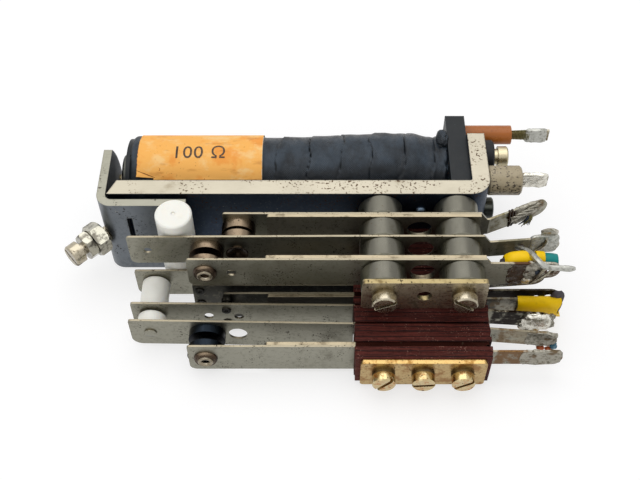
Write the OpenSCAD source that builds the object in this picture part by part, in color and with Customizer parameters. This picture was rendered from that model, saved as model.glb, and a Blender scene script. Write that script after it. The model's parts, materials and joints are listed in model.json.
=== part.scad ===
// Flat-type relay with two piles of contact springs, lying on the edge of its yoke.
// A soft-iron yoke carries a taped coil on one side and the contact springs on the other.
// The bell-crank armature rocks on the yoke's knife edge and its nylon rod pushes the long springs.

/* [Yoke] */
// Length of the yoke from its knife edge to the heel's outer face
yoke_l = 86.8; // [84:0.1:92]
// Width of the yoke's strip
yoke_w = 24; // [24:0.1:26]
// Thickness of the yoke's strip
yoke_t = 4; // [3.6:0.1:4.6]
// Inner radius of the yoke's bend
yoke_bend = 0.5; // [0.3:0.1:1]
// Height of the heel's round end above the coil's axis
heel_over = 6.8; // [6.4:0.1:8]
// How far the heel's end drops from its middle to its edges
heel_drop = 3; // [1:0.1:4]
// Length of the bevel that makes the knife edge
knife_bevel = 1.85; // [1.2:0.05:2.4]

/* [Coil] */
// Diameter over the cloth tape
coil_d = 20.6; // [19.6:0.1:21]
// Space between the tape and the yoke
coil_gap = 0.4; // [0.35:0.05:1]
// Thickness of the tape wound over the wire
tape_t = 0.7; // [0.4:0.1:1]
// How far the slack tape bulges near the heel
tape_bulge = 0.25; // [0:0.05:0.3]
// Diameter of the core
core_d = 9; // [8:0.1:10]
// Diameter of the pole face
pole_d = 12; // [10:0.1:14]
// Thickness of the pole's flange
pole_t = 1.6; // [1:0.1:2.4]
// Thickness of the small cheek behind the pole
front_cheek_t = 1; // [0.6:0.1:1.6]
// Thickness of the square cheek against the heel
rear_cheek_t = 4.6; // [3:0.1:6]
// Diameter of the core's tail, which is riveted into the heel
tail_d = 6; // [5:0.1:6.2]

/* [Label] */
// Length of the paper label along the coil
label_l = 29.1; // [20:0.1:34]
// Thickness of the label
label_t = 0.15; // [0.1:0.01:0.25]
// Angle from the top of the coil down to the label's edge beside the yoke
label_down = 38; // [30:1:45]
// Angle from the top of the coil down to the label's edge at the back
label_back = 75; // [55:1:100]

/* [Armature] */
// Thickness of the armature
arm_t = 1.95; // [1.6:0.05:2.2]
// Length of the arm from the knife edge to its free end
arm_l = 18; // [17:0.1:22]
// Space between the arm and the yoke's face
arm_gap = 1.4; // [1.2:0.05:1.8]
// Inner radius of the armature's bend
arm_bend = 1.5; // [1:0.1:1.8]
// Running gap between the knife edge and the armature's leg
knife_gap = 0.3; // [0.2:0.05:0.5]
// Space between the leg and the pole face at rest
air_gap = 1.3; // [1.25:0.05:1.8]
// Height of the leg's round end above the coil's axis
leg_over = 2.3; // [1.5:0.1:5]
// How far the leg's end drops from its middle to its edges
leg_drop = 3.7; // [1:0.1:4]
// Narrowing of the armature at each edge
arm_inset = 0.2; // [0.1:0.05:0.5]
// Distance of the arm's slot from the knife edge
slot_reach = 4.9; // [4:0.1:6]
// Length of the arm's slot
slot_l = 14.6; // [8:0.1:16]
// Width of the arm's slot
slot_w = 1.2; // [0.6:0.1:1.5]
// Diameter of the residual stud on the leg
residual_d = 2; // [1.5:0.1:3]
// Height of the residual stud
residual_h = 0.25; // [0.15:0.05:0.3]

/* [Nylon rod] */
// Distance of the rod from the knife edge
rod_reach = 15.9; // [14.5:0.1:16.5]
// Length of the rod
rod_l = 24; // [22:0.1:25]
// Height of the rod's lower end above the yoke's edge
rod_rise = 2; // [1:0.1:3]
// Depth of the flat on which the rod seats
rod_flat = 0.15; // [0.1:0.05:0.4]
// Diameter of the rod's two rivets
rod_rivet_d = 2; // [1.6:0.1:2.4]
// Running gap between the rod and the long springs
push_gap = 0.15; // [0.1:0.01:0.25]

/* [Retaining screw] */
// Diameter of the retaining screw
retainer_d = 3; // [2.5:0.1:3]
// Diameter of the hole in the armature's bend
retainer_hole_d = 4.2; // [4:0.1:4.6]
// Distance from the knife edge to the first nut
retainer_nut_at = 3.5; // [3:0.1:4]
// Width across the flats of the first nut
retainer_nut_af = 7; // [5.5:0.1:8]
// Thickness of the first nut
retainer_nut_t = 3.2; // [2:0.1:4]
// Width across the flats of the lock nut
lock_nut_af = 6; // [5:0.1:7]
// Thickness of the lock nut
lock_nut_t = 2.2; // [1.5:0.1:3]
// Bare neck between the lock nut and the head
retainer_neck = 1.1; // [0.6:0.1:2]
// Diameter of the retaining screw's head
retainer_head_d = 5.3; // [4.5:0.1:6]
// Height of the retaining screw's head
retainer_head_h = 2.6; // [2:0.1:3.2]

/* [Contact springs] */
// Thickness of a contact spring
spring_t = 0.5; // [0.3:0.05:0.6]
// Width of a contact spring
spring_w = 9.4; // [8.6:0.1:9.6]
// Thickness of a stiffener
stiffener_t = 0.8; // [0.6:0.05:1]
// Width of a soldering tag
tag_w = 5.2; // [4.6:0.1:6]
// Reach of most tags past the heel
tag_reach = 14.6; // [12:0.1:15.5]
// Reach of the two longest tags past the heel
long_tag_reach = 16.2; // [14:0.1:16.4]
// Reach of the three shortest tags past the heel
low_spring_reach = 13.6; // [12:0.1:15]
// Length of the long springs past the rod
long_past_rod = 10.2; // [9.4:0.1:10.5]
// Distance from the rod back to the lifting studs
stud_past_rod = 5.7; // [5:0.1:6]
// Distance from the rod to the middle contacts
mid_contact = 7.1; // [6.8:0.1:7.8]
// Distance from the rod to the short springs' contacts
short_contact = 13.9; // [13.6:0.1:15.2]
// Distance from the rod to the first twin contacts
twin_near = 4.9; // [4.8:0.1:5.6]
// Distance from the rod to the second twin contacts
twin_far = 11.2; // [10.9:0.1:12]
// Lean of the springs that the rod pushes, in degrees
lean_out = 0.3; // [0.1:0.05:0.4]
// Lean of the fourth spring of the lower pile towards the yoke, in degrees
lean_b4 = 0.66; // [0.3:0.02:0.8]
// Lean of the fifth spring of the lower pile towards the yoke, in degrees
lean_b5 = 0.98; // [0.6:0.02:1.1]

/* [Contacts] */
// Diameter of the large copper contacts
button_d = 7.6; // [6:0.1:8]
// Diameter of the large black contacts
black_button_d = 8.2; // [6:0.1:8.4]
// Diameter of a twin contact
twin_d = 2.6; // [2:0.1:3]
// Distance between twin contacts
twin_pitch = 4.8; // [4:0.1:5.4]
// Gap of a contact pair that is closed at rest
closed_gap = 0.1; // [0.08:0.01:0.2]
// Gap of a contact pair that is open at rest
open_gap = 1.1; // [1.05:0.05:1.4]
// Diameter of the nylon lifting studs
stud_d = 6.4; // [5:0.1:7]
// Diameter of the hole that holds a lifting stud
stud_hole_d = 1.85; // [1.5:0.05:2.4]

/* [Upper pile] */
// Height of the upper pile's middle above the yoke's middle
pile_a_up = 6.9; // [6.8:0.1:7]
// Distance from the heel's outer face to the piles' middle
pile_back = 16.3; // [15.5:0.1:17]
// Distance between neighbouring pile screws
screw_pitch = 8.6; // [8:0.1:9]
// Diameter of a spacer
spacer_d = 10; // [9:0.1:10]
// Length of a spacer
spacer_h = 5; // [4.6:0.1:5.4]
// Length of the upper clamp plate
plate_a_l = 26.9; // [26:0.1:29]
// Thickness of both clamp plates
plate_t = 1.15; // [0.8:0.05:1.6]
// Width of the upper clamp plate
plate_a_w = 9.6; // [8:0.1:10]

/* [Lower pile] */
// Depth of the lower pile's middle below the yoke's middle
pile_b_down = 5.8; // [5.6:0.1:6.2]
// Length of the laminate sheets
pile_b_l = 29.8; // [27:0.1:30.4]
// Width of the laminate sheets
pile_b_w = 10; // [9.6:0.1:10.2]
// Usual thickness of one laminate sheet
sheet_t = 1.25; // [0.9:0.05:2]
// Unevenness of the sheets' ends
sheet_ragged = 0.25; // [0:0.05:0.4]
// Space between the first and second springs
gap_b1_b2 = 3.7; // [3.4:0.1:4.4]
// Space between the second and third springs
gap_b2_b3 = 1.8; // [1.4:0.1:2.4]
// Space between the third spring's stiffener and the fourth spring
gap_b3_b4 = 1.9; // [1.7:0.1:2.4]
// Space between the fourth and fifth springs
gap_b4_b5 = 4.3; // [4:0.1:5]
// Space between the fifth spring and the sixth spring's stiffener
gap_b5_b6 = 4.5; // [4.2:0.1:5]
// Space between the sixth spring and the clamp plate
gap_b6_plate = 2.9; // [2:0.1:3.5]
// Length of the lower clamp plate
plate_b_l = 27.3; // [25:0.1:29]
// Width of the lower clamp plate
plate_b_w = 9; // [8:0.1:10]

/* [Screws] */
// Diameter of the pile screws
screw_d = 3; // [2.5:0.1:3]
// Diameter of the insulating tubes round the pile screws
tube_d = 4.2; // [4:0.1:4.4]
// Diameter of the upper pile's screw heads
head_a_d = 5.5; // [5:0.1:6]
// Height of the upper pile's screw heads
head_a_h = 2; // [1.6:0.1:2.6]
// Diameter of the lower pile's screw heads
head_b_d = 5.1; // [4.8:0.1:5.6]
// Height of the lower pile's screw heads
head_b_h = 2.2; // [1.6:0.1:2.6]
// Thickness of a lock washer
washer_t = 0.7; // [0.5:0.05:1]
// Width of a screw slot
driver_slot = 0.8; // [0.6:0.05:1]

/* [Heel fittings] */
// Thickness of the black washer on the heel
post_washer_t = 2.6; // [2:0.1:3]
// Diameter of the black washer
post_washer_d = 8; // [6:0.1:8]
// Diameter of the post's round head
post_head_d = 5; // [4.2:0.1:5.6]
// Height of the post's round head
post_head_h = 2.4; // [1.6:0.1:3]
// Reach of the upper coil tag past the heel
coil_tag_reach = 16.8; // [16.5:0.1:18]
// Reach of the lower coil tag past the heel
low_tag_reach = 14; // [12:0.1:15]
// Width of the upper coil tag
coil_tag_w = 3.3; // [2.4:0.1:3.6]
// Width of the lower coil tag
low_tag_w = 3.3; // [2.4:0.1:3.6]
// Thickness of both coil tags
coil_tag_t = 0.7; // [0.5:0.05:0.9]
// Diameter of the upper coil tag's sleeve
tag_sleeve_d = 4.6; // [4:0.1:4.6]
// Length of the upper coil tag's sleeve past the heel
tag_sleeve_reach = 7.5; // [5:0.1:9]
// Diameter of the lower coil tag's bush
bush_d = 6.9; // [6:0.1:7.2]
// Length of the bush past the heel
bush_reach = 7.8; // [5:0.1:9]
// Diameter of the bush's spigot through the heel
spigot_d = 3.8; // [3.6:0.1:4.2]
// Diameter of the tapped mounting hole's bore
mount_hole_d = 2.5; // [2.4:0.1:3]
// Distance of the mounting hole from the yoke's outer face
mount_depth = 7; // [6.5:0.1:8]
// Height of the mounting hole above the yoke's lower edge
mount_up = 3.6; // [3:0.1:4]

/* [Hidden] */
$fn = 48;

// Step of the angle that scatters the sheets' ends
ragged_turn = 137;

// Places of the heel fittings, from the coil's axis
bush_in_y = 7.7;
bush_up = 8.4;
sleeve_out_y = 8.4;
sleeve_lift = 6.5;
post_out_y = 1.9;
post_up = 5.85;
heel_screw_in_y = 9.1;
heel_screw_up = 0;

// Small clearances, and how far a cutter runs past what it cuts
fit = 0.05;
root_gap = 0.12;
over = 1;

// Facets of the widest rounds
fine = 96;

// Details of nuts, screw heads and washers
slot_share = 0.52;
nut_chamfer_share = 0.8;
split_w = 0.5;
split_skew = 8;
hole_play = 0.2;
head_chamfer = 0.3;
screw_short = 0.3;

// Details of the springs: ends, corners, shoulders, tags and holes
mid_end_reach = 3.8;
short_end_reach = 3.5;
stiffener_back = 6.4;
stiffener_short = 0.6;
bend_out_of_pile = 0.6;
corner_small = 0.6;
corner_upper = 1.6;
corner_lower = 2.4;
shoulder_l = 1.4;
shoulder_root = 3;
neck_l = 1;
tag_hole_d = 2;
tag_slot_d = 1.4;
tag_slot_back = 2.8;
spare_hole_d = 5.7;
spare_shift = 0.3;
a3_tag_up = 0.7;
a3_skirt_over = 0.8;
plate_corner = 0.8;

// Bends of the tags away from the viewer, in degrees
bend_a1 = 24;
bend_a2 = 5;
bend_b1 = 5;
bend_b4 = -4;
bend_b5 = -5;

// Turns of the screw slots and of the lock nut, in degrees
slots_a = [28, -35];
slots_b = [50, 5, 35];
slot_heel = 127;
slot_post = 127;
slot_retainer = 65;
lock_turn = 30;

// Details of the contacts: dome, rivet and twin sizes
dome_share = 0.045;
hollow_share = 0.8;
hollow_d_share = 0.45;
rivet_d = 3.4;
rivet_h = 0.4;
twin_hole_d = 1.3;
twin_tail_d = 2.1;
twin_tail_h = 0.25;
rivet_hole_d = 2.2;
cup_neck_d = 2.8;
cup_h = 0.3;
cup_flare = 0.8;
cup_d = 5.2;
cup_lip = 0.5;
cup_bore_d = 1.4;
heavy_rivet_d = 4.5;
heavy_rivet_h = 0.7;
spare_rivet_hole_d = 4.2;
stud_chamfer = 0.25;
stud_rivet_h = 0.3;
stud_rivet_over = 0.8;

// Details of the coil and its tags
slack_l = 12;
slack_steps = 12;
label_back_off = 1.8;
tail_flare = 0.6;
tail_flare_l = 1;
stem_w = 2.2;
sleeve_bore_r = 1.3;
bush_in = 2;
post_neck_d = 3.8;
post_neck_l = 1.1;
edge_r = 0.4;

// Details of the wire ends and the solder
wire_sides = 8;
core_wire_r = 0.5;
bare_r = 0.42;
// The bare end's places along X, in front of the tag and above the tag's middle
bare_path = [[11.4, 0, 2.6], [12.6, 0.3, 2.2], [13.9, 0.2, 1.9], [15.2, 0, 1.8], [16.4, 0.1, 2]];
sleeve_x = 2.6;
sleeve_l = 6.6;
second_sleeve_l = 3.4;
sleeve_r = 1.6;
sleeve_behind = 1.65;
sleeve_up = 0.2;
flat_sleeve_x = 6.8;
flat_sleeve_t = 2.6;
flat_sleeve_over = 2.6;

lump_a1 = [10.6, 0, 2.8, 0.8];
lump_a3 = [10.5, -0.4, 1.9, 0.9];
lump_b4 = [9.2, 0, 3, 1.1];
lump_b6 = [9.9, 0, 3.2, 0.6];

// Details of the armature and its rod
crease_w = 0.7;
rod_chamfer = 0.3;
gate_d = 0.9;
gate_h = 0.2;
rivet_in_rod = 2.8;
rod_rivet_head_h = 0.5;
rod_rivet_head_share = 1.8;

// Heights and the coil's axis
mid_z = yoke_w / 2;
pile_a_z = mid_z + pile_a_up;
pile_b_z = mid_z - pile_b_down;
coil_r = coil_d / 2;
core_y = yoke_t + coil_gap + coil_r;
cheek_w = 2 * (core_y - yoke_t);

// Places along the yoke, from the heel's outer face at 0 to the knife edge
knife_x = -yoke_l;
leg_in_x = knife_x - knife_gap;
pole_x = leg_in_x + air_gap;
wind_x0 = pole_x + pole_t + front_cheek_t;
wind_x1 = -yoke_t - rear_cheek_t;
rod_x = knife_x + rod_reach;
arm_end_x = knife_x + arm_l;
pile_x = -pile_back;
long_x = rod_x - long_past_rod;
stud_x = rod_x - stud_past_rod;
mid_x = rod_x + mid_contact;
short_x = rod_x + short_contact;
near_x = rod_x + twin_near;
far_x = rod_x + twin_far;
mid_end_x = mid_x - mid_end_reach;
short_end_x = short_x - short_end_reach;
stiffener_x = short_x + stiffener_back;
root_a = pile_x - screw_pitch - spacer_d / 2;
root_b = pile_x - pile_b_l / 2;
tag_bend_x = pile_x + pile_b_l / 2 + bend_out_of_pile;

// Depths in front of the yoke's face: the back of each layer of both piles
d_a1 = spacer_h;
d_stiff_a1 = d_a1 + spring_t;
d_spacer_2 = d_stiff_a1 + stiffener_t;
d_a2 = d_spacer_2 + spacer_h;
d_spacer_3 = d_a2 + spring_t;
d_stiff_a3 = d_spacer_3 + spacer_h;
d_a3 = d_stiff_a3 + stiffener_t;
d_spacer_4 = d_a3 + spring_t;
d_plate_a = d_spacer_4 + spacer_h;
d_b1 = d_a2;
d_b2 = d_b1 + spring_t + gap_b1_b2;
d_b3 = d_b2 + spring_t + gap_b2_b3;
d_stiff_b3 = d_b3 + spring_t;
d_b4 = d_stiff_b3 + stiffener_t + gap_b3_b4;
d_b5 = d_b4 + spring_t + gap_b4_b5;
d_stiff_b6 = d_b5 + spring_t + gap_b5_b6;
d_b6 = d_stiff_b6 + stiffener_t;
d_plate_b = d_b6 + spring_t + gap_b6_plate;
front_b = d_plate_b + plate_t + washer_t + head_b_h;

// The rod fills the space between the arm and the leaning long springs
arm_front = arm_gap + arm_t;
rod_r = (d_a2 + (root_a - rod_x) * tan(lean_out) - push_gap - arm_front + rod_flat) / 2;
rod_depth = arm_front + rod_r - rod_flat;

// The retaining screw's stations along its own axis, from the knife edge outwards
retainer_in = yoke_t * 1.3;
lock_at = retainer_nut_at + retainer_nut_t + fit;
retainer_head_at = lock_at + lock_nut_t + retainer_neck;
retainer_end = retainer_head_at + retainer_head_h;

// The frame's origin is under the middle of the whole part
reach_left = yoke_l + (retainer_end + retainer_head_d / 2 - head_chamfer) / sqrt(2);
heel_x = (reach_left - coil_tag_reach) / 2;
face_y = (front_b - core_y - cheek_w / 2) / 2;

// Heel fittings
bush_y = core_y - bush_in_y;
bush_z = mid_z + bush_up;
sleeve_y = core_y + sleeve_out_y;
sleeve_z = mid_z + sleeve_lift;
post_y = core_y + post_out_y;
post_z = mid_z + post_up;
heel_screw_y = core_y - heel_screw_in_y;
heel_screw_z = mid_z + heel_screw_up;

// How far a leaning spring has moved at a place along it
function sway(root, x, lean) = (root - x) * tan(lean);
// Radius of an arc from its chord and its rise
function arc_r(chord, rise) = (chord * chord / 4 + rise * rise) / (2 * rise);

// Moves a piece from the heel's corner to the part's own frame
module from_heel() translate([heel_x, face_y, 0]) children();

// A flat piece parallel to the yoke, drawn in X and Z, with its back at depth d
module leaf(d, t) translate([0, -d, 0]) rotate([90, 0, 0]) linear_extrude(t) children();

// Stands a piece on a face at depth d, pointing at the viewer or, with side -1, at the yoke
module on_face(x, z, d, side = 1) translate([x, -d, z]) rotate([side * 90, 0, 0]) children();

// Puts a piece on a line along X, its own Z along X
module on_heel(y, z, x) translate([x, y, z]) rotate([0, 90, 0]) children();

// Puts a piece on the coil's axis
module on_core(x) on_heel(core_y, mid_z, x) children();

// Puts a piece on the retaining screw's axis, which leaves the knife edge at 45 degrees
module on_retainer(at) translate([knife_x, 0, mid_z]) rotate([0, 90, 225]) translate([0, 0, at]) children();

// Leans a spring about the line where the pile lets it go
module leaning(root, d, lean) translate([root, -d - spring_t / 2, 0]) rotate([0, 0, lean])
    translate([-root, d + spring_t / 2, 0]) children();

// A ring or tube standing on its end
module tube(h, r_out, r_in) difference() {
    cylinder(h = h, r = r_out);
    translate([0, 0, -over]) cylinder(h = h + 2 * over, r = r_in);
}

// A round bar with both ends chamfered
module turned(h, r, c) rotate_extrude()
    polygon([[0, 0], [r - c, 0], [r, c], [r, h - c], [r - c, h], [0, h]]);

// A slotted cheese head, its top chamfered
module cheese_head(d, h, turn) difference() {
    rotate_extrude()
        polygon([[0, 0], [d / 2, 0], [d / 2, h - head_chamfer], [d / 2 - head_chamfer, h], [0, h]]);
    rotate(turn) translate([-d, -driver_slot / 2, h * slot_share]) cube([2 * d, driver_slot, h]);
}

// A hexagon nut with chamfered corners
module hex_nut(af, h, bore_d) {
    corner_r = af / sqrt(3);
    difference() {
        intersection() {
            cylinder(h = h, r = corner_r, $fn = 6);
            turned(h, corner_r, (corner_r - af / 2) * nut_chamfer_share);
        }
        translate([0, 0, -over]) cylinder(h = h + 2 * over, d = bore_d);
    }
}

// A split lock washer
module lock_washer(d_in, d_out) difference() {
    tube(washer_t, d_out / 2, d_in / 2);
    translate([0, -split_w / 2, -over]) rotate(split_skew) cube([d_out, split_w, washer_t + 2 * over]);
}

// A quarter ring in the corner of positive X and negative Y
module quarter_ring(r_out, r_in) intersection() {
    difference() {
        circle(r_out, $fn = fine);
        circle(r_in, $fn = fine);
    }
    translate([0, -r_out]) square(r_out);
}

// What a rounded corner leaves off a sheet, at the origin
module corner_scrap(r) difference() {
    translate([-over, -over]) square(r + over);
    translate([r, r]) circle(r);
}

// A rectangle in X and Z with the two corners of its left end rounded
module strip(x0, x1, z, w, r_low, r_high) difference() {
    translate([x0, z - w / 2]) square([x1 - x0, w]);
    translate([x0, z - w / 2]) corner_scrap(r_low);
    translate([x0, z + w / 2]) mirror([0, 1]) corner_scrap(r_high);
}

// Holes along a row, each given as its place and its diameter
module row_holes(z, holes) for (h = holes) translate([h[0], z]) circle(d = h[1]);

// The three screw places of a pile, and the outer two
function three_x() = [pile_x - screw_pitch, pile_x, pile_x + screw_pitch];
function two_x() = [pile_x - screw_pitch, pile_x + screw_pitch];
function tube_holes(xs) = [for (x = xs) [x, tube_d + 2 * fit]];
function pile_a_holes() = concat(tube_holes(two_x()), [[pile_x, spare_hole_d]]);
function pile_b_holes() = tube_holes(three_x());

// The outline of a soldering tag, round at its end and with a hole for the wire
module tag_outline(z, end_x) difference() {
    union() {
        translate([tag_bend_x + neck_l / 2, z - tag_w / 2])
            square([end_x - tag_w / 2 - tag_bend_x - neck_l / 2, tag_w]);
        translate([end_x - tag_w / 2, z]) circle(d = tag_w);
    }
    translate([end_x - tag_w / 2, z]) circle(d = tag_hole_d);
    translate([end_x - tag_w / 2 - tag_slot_back, z]) circle(d = tag_slot_d);
}

// The shoulders that lead from the spring's width down to the tag's
module tag_shoulders(z) {
    x0 = tag_bend_x - shoulder_root;
    x2 = tag_bend_x - neck_l / 2;
    x1 = x2 - shoulder_l;
    polygon([[x0, z - spring_w / 2], [x1, z - spring_w / 2], [x2, z - tag_w / 2],
        [x2, z + tag_w / 2], [x1, z + spring_w / 2], [x0, z + spring_w / 2]]);
}

// The mitred bend of a tag, seen from above with the bend's line at the origin
function swung(x, y, a) = [x * cos(a) - y * sin(a), x * sin(a) + y * cos(a)];
module bent_neck(bend) {
    h = spring_t / 2;
    polygon([[-neck_l, -h], [h * tan(bend / 2), -h], swung(neck_l, -h, bend), swung(neck_l, h, bend),
        [-h * tan(bend / 2), h], [-neck_l, h]]);
}

// Moves what stands on a bent tag with it
module on_tag(d, bend) translate([tag_bend_x, -d - spring_t / 2, 0]) rotate(bend)
    translate([-tag_bend_x, d + spring_t / 2, 0]) children();

// A tag at depth d that bends away from the viewer by an angle where it leaves the pile
module tag(d, z, end_x, bend) {
    translate([tag_bend_x, -d - spring_t / 2, 0]) {
        translate([0, 0, z - tag_w / 2]) linear_extrude(tag_w) bent_neck(bend);
        rotate(bend) translate([-tag_bend_x, spring_t / 2, 0]) rotate([90, 0, 0])
            linear_extrude(spring_t) tag_outline(z, end_x);
    }
}

// A whole spring: blade, clamped part and soldering tag
module spring(x0, d, z, clamp_holes, holes, end_x, bend, tag_up = 0) {
    leaf(d, spring_t) difference() {
        union() {
            strip(x0, tag_bend_x - shoulder_l - neck_l / 2, z, spring_w, corner_upper, corner_small);
            tag_shoulders(z);
        }
        row_holes(z, concat(clamp_holes, holes));
    }
    tag(d, z + tag_up, end_x, bend);
}

// The clamped part and tag of a spring whose blade moves
module tail(root, d, z, clamp_holes, end_x, bend) {
    leaf(d, spring_t) difference() {
        union() {
            translate([root, z - spring_w / 2])
                square([tag_bend_x - shoulder_l - neck_l / 2 - root, spring_w]);
            tag_shoulders(z);
        }
        row_holes(z, clamp_holes);
    }
    tag(d, z, end_x, bend);
}

// The moving blade of a spring, up to the edge of its pile
module blade(root, d, z, lean, r_low, holes) leaning(root, d, lean) leaf(d, spring_t) difference() {
    strip(long_x, root - root_gap, z, spring_w, r_low, corner_small);
    row_holes(z, holes);
}

// A stiff strip that lies along a fixed spring
module stiffener(d, z, clamp_holes, end_x) leaf(d, stiffener_t) difference() {
    strip(stiffener_x, end_x, z, spring_w, corner_small, corner_small);
    row_holes(z, clamp_holes);
}

// A riveted contact: a domed button, its shank through the spring and a tail on the other side
module contact(h, d, hole_d, tail_d, tail_h) {
    dome = d * dome_share;
    intersection() {
        cylinder(h = h, d = d);
        translate([0, 0, h - arc_r(d, dome)]) sphere(r = arc_r(d, dome), $fn = fine);
    }
    translate([0, 0, -spring_t]) cylinder(h = spring_t, d = hole_d - 2 * fit);
    difference() {
        translate([0, 0, -spring_t - tail_h]) cylinder(h = tail_h, d = tail_d);
        translate([0, 0, -spring_t - tail_h - over])
            cylinder(h = tail_h * hollow_share + over, d = tail_d * hollow_d_share);
    }
}

// Twin contacts, one above the other
module twins(x, z, d, side, h) for (up = [-1, 1])
    on_face(x, z + up * twin_pitch / 2, d, side) contact(h, twin_d, twin_hole_d, twin_tail_d, twin_tail_h);
function twin_holes(x, z) = [for (up = [-1, 1]) [x, z + up * twin_pitch / 2]];
module twin_cuts(x, z) for (c = twin_holes(x, z)) translate(c) circle(d = twin_hole_d);

// Spaces between the springs at each contact, and the height of each contact in them
space_a12 = d_a2 + sway(root_a, short_x, lean_out) - d_a1 - spring_t;
space_a23 = d_a3 - d_a2 - spring_t - sway(root_a, mid_x, lean_out);
space_b12 = d_b2 - d_b1 - spring_t - sway(root_b, near_x, lean_out);
space_b34 = d_b4 - sway(root_b, far_x, lean_b4) - d_b3 - spring_t;
space_b56 = d_b6 - d_b5 - spring_t + sway(root_b, mid_x, lean_b5);
h_a12 = (space_a12 - closed_gap) / 2;
h_a23 = (space_a23 - open_gap) / 2;
h_b12 = (space_b12 - open_gap) / 2;
h_b34 = (space_b34 - closed_gap) / 2;
h_b56 = (space_b56 - open_gap) / 2;

// Lengths of the lifting studs between the long springs of the lower pile
sway_b1 = sway(root_b, stud_x, lean_out);
sway_b4 = sway(root_b, stud_x, lean_b4);
sway_b5 = sway(root_b, stud_x, lean_b5);
stud_b4_l = d_b4 - sway_b4 - d_b1 - spring_t - sway_b1 - push_gap;
stud_b5_l = d_b5 - sway_b5 - d_b4 - spring_t + sway_b4 - stud_rivet_h - push_gap;

// Yoke: a bent strip with a knife edge, a round heel and tapped holes
module yoke() color("#8f9298") from_heel() {
    bend_out = yoke_t + yoke_bend;
    heel_top = core_y + heel_over;
    arc = arc_r(yoke_w, heel_drop);
    difference() {
        intersection() {
            linear_extrude(yoke_w) difference() {
                union() {
                    translate([knife_x, 0]) square([yoke_l - bend_out, yoke_t]);
                    translate([-yoke_t, bend_out]) square([yoke_t, heel_top - bend_out]);
                    translate([-bend_out, bend_out]) quarter_ring(bend_out, yoke_bend);
                }
                polygon([[knife_x - over, -over], [knife_x, 0],
                    [knife_x + knife_bevel * (yoke_t + over) / yoke_t, yoke_t + over],
                    [knife_x - over, yoke_t + over]]);
            }
            translate([knife_x - over, heel_top - arc, mid_z]) rotate([0, 90, 0])
                cylinder(h = yoke_l + 2 * over, r = arc, $fn = 2 * fine);
        }
        for (x = two_x()) on_face(x, pile_a_z, over) translate([0, 0, -yoke_t - 2 * over])
            cylinder(h = yoke_t + 4 * over, d = screw_d + 2 * fit);
        for (x = three_x()) on_face(x, pile_b_z, over) translate([0, 0, -yoke_t - 2 * over])
            cylinder(h = yoke_t + 4 * over, d = screw_d + 2 * fit);
        on_core(-yoke_t - over) cylinder(h = yoke_t + 2 * over, d = tail_d + 2 * fit);
        on_core(-tail_flare_l) tail_cone(fit);
        for (hole = [[bush_y, bush_z, spigot_d + 2 * fit], [heel_screw_y, heel_screw_z, screw_d + 2 * fit],
            [post_y, post_z, screw_d + 2 * fit], [mount_depth, mount_up, mount_hole_d]])
            on_heel(hole[0], hole[1], -yoke_t - over) cylinder(h = yoke_t + 2 * over, d = hole[2]);
        on_retainer(-2 * yoke_t) cylinder(h = 2 * yoke_t + 2 * over, d = retainer_d + 2 * fit);
    }
}

// Core: soft-iron rod with a pole flange at the armature and a tail riveted flush into the heel
module core() color("#7d8288") from_heel() {
    on_core(pole_x) turned(pole_t, pole_d / 2, edge_r);
    on_core(pole_x + pole_t - fit) cylinder(h = -yoke_t - pole_x - pole_t + fit, d = core_d);
    on_core(-yoke_t - fit) cylinder(h = yoke_t + fit, d = tail_d);
    on_core(-tail_flare_l) tail_cone(0);
}

// The spread end of the core's tail, or with a play the cone that it needs in the heel
module tail_cone(play) cylinder(h = tail_flare_l, d1 = tail_d + 2 * play, d2 = tail_d + 2 * (tail_flare + play));

// Front cheek: small disc that holds the first turns behind the pole
module front_cheek() color("#26262a") from_heel()
    on_core(pole_x + pole_t) tube(front_cheek_t, coil_r - tape_t, core_d / 2 + fit);

// Rear cheek: square block between the winding and the heel, seated on the yoke
module rear_cheek() color("#1d1d20") from_heel() difference() {
    translate([wind_x1, yoke_t, mid_z - cheek_w / 2]) cube([rear_cheek_t, cheek_w, cheek_w]);
    on_core(wind_x1 - over) cylinder(h = rear_cheek_t + 2 * over, r = core_d / 2 + fit);
    on_heel(bush_y, bush_z, -yoke_t - bush_in) cylinder(h = bush_in + over, d = spigot_d + 2 * fit);
    bend_clear = yoke_bend + over + fit;
    linear_extrude(yoke_w) polygon([[-yoke_t + over, yoke_t - over],
        [-yoke_t + over, yoke_t + bend_clear], [-yoke_t - bend_clear, yoke_t - over]]);
}

// Winding: the enamelled wire between the cheeks
module winding() color("#9a5a30") from_heel()
    on_core(wind_x0) tube(wind_x1 - wind_x0, coil_r - tape_t, core_d / 2 + fit);

// Coil tape: cloth tape over the winding, slack where it meets the rear cheek
module coil_tape() color("#17181b") from_heel() on_core(wind_x0) {
    l = wind_x1 - wind_x0;
    slack = l - slack_l - over;
    rotate_extrude($fn = fine) polygon(concat(
        [[coil_r - tape_t, 0], [coil_r - edge_r, 0], [coil_r, edge_r], [coil_r, slack]],
        [for (i = [1 : slack_steps - 1]) [coil_r + tape_bulge * sin(180 * i / slack_steps),
            slack + slack_l * i / slack_steps]],
        [[coil_r, slack + slack_l], [coil_r, l], [coil_r - tape_t, l]]));
}

// Resistance label: a paper patch wrapped over the tape
module resistance_label() color("#d98a3d") from_heel()
    on_core(wind_x0 + label_back_off) rotate([0, 0, 180 - label_back])
        rotate_extrude(angle = label_back + label_down, $fn = fine)
            translate([coil_r, 0]) square([label_t, label_l]);

// Heel washer: thick black washer that keeps the post off the heel
module heel_washer() color("#1b1b1e") from_heel() on_heel(post_y, post_z, 0) difference() {
    turned(post_washer_t, post_washer_d / 2, edge_r);
    translate([0, 0, -over]) cylinder(h = post_washer_t + 2 * over, d = screw_d + 2 * fit);
}

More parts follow.
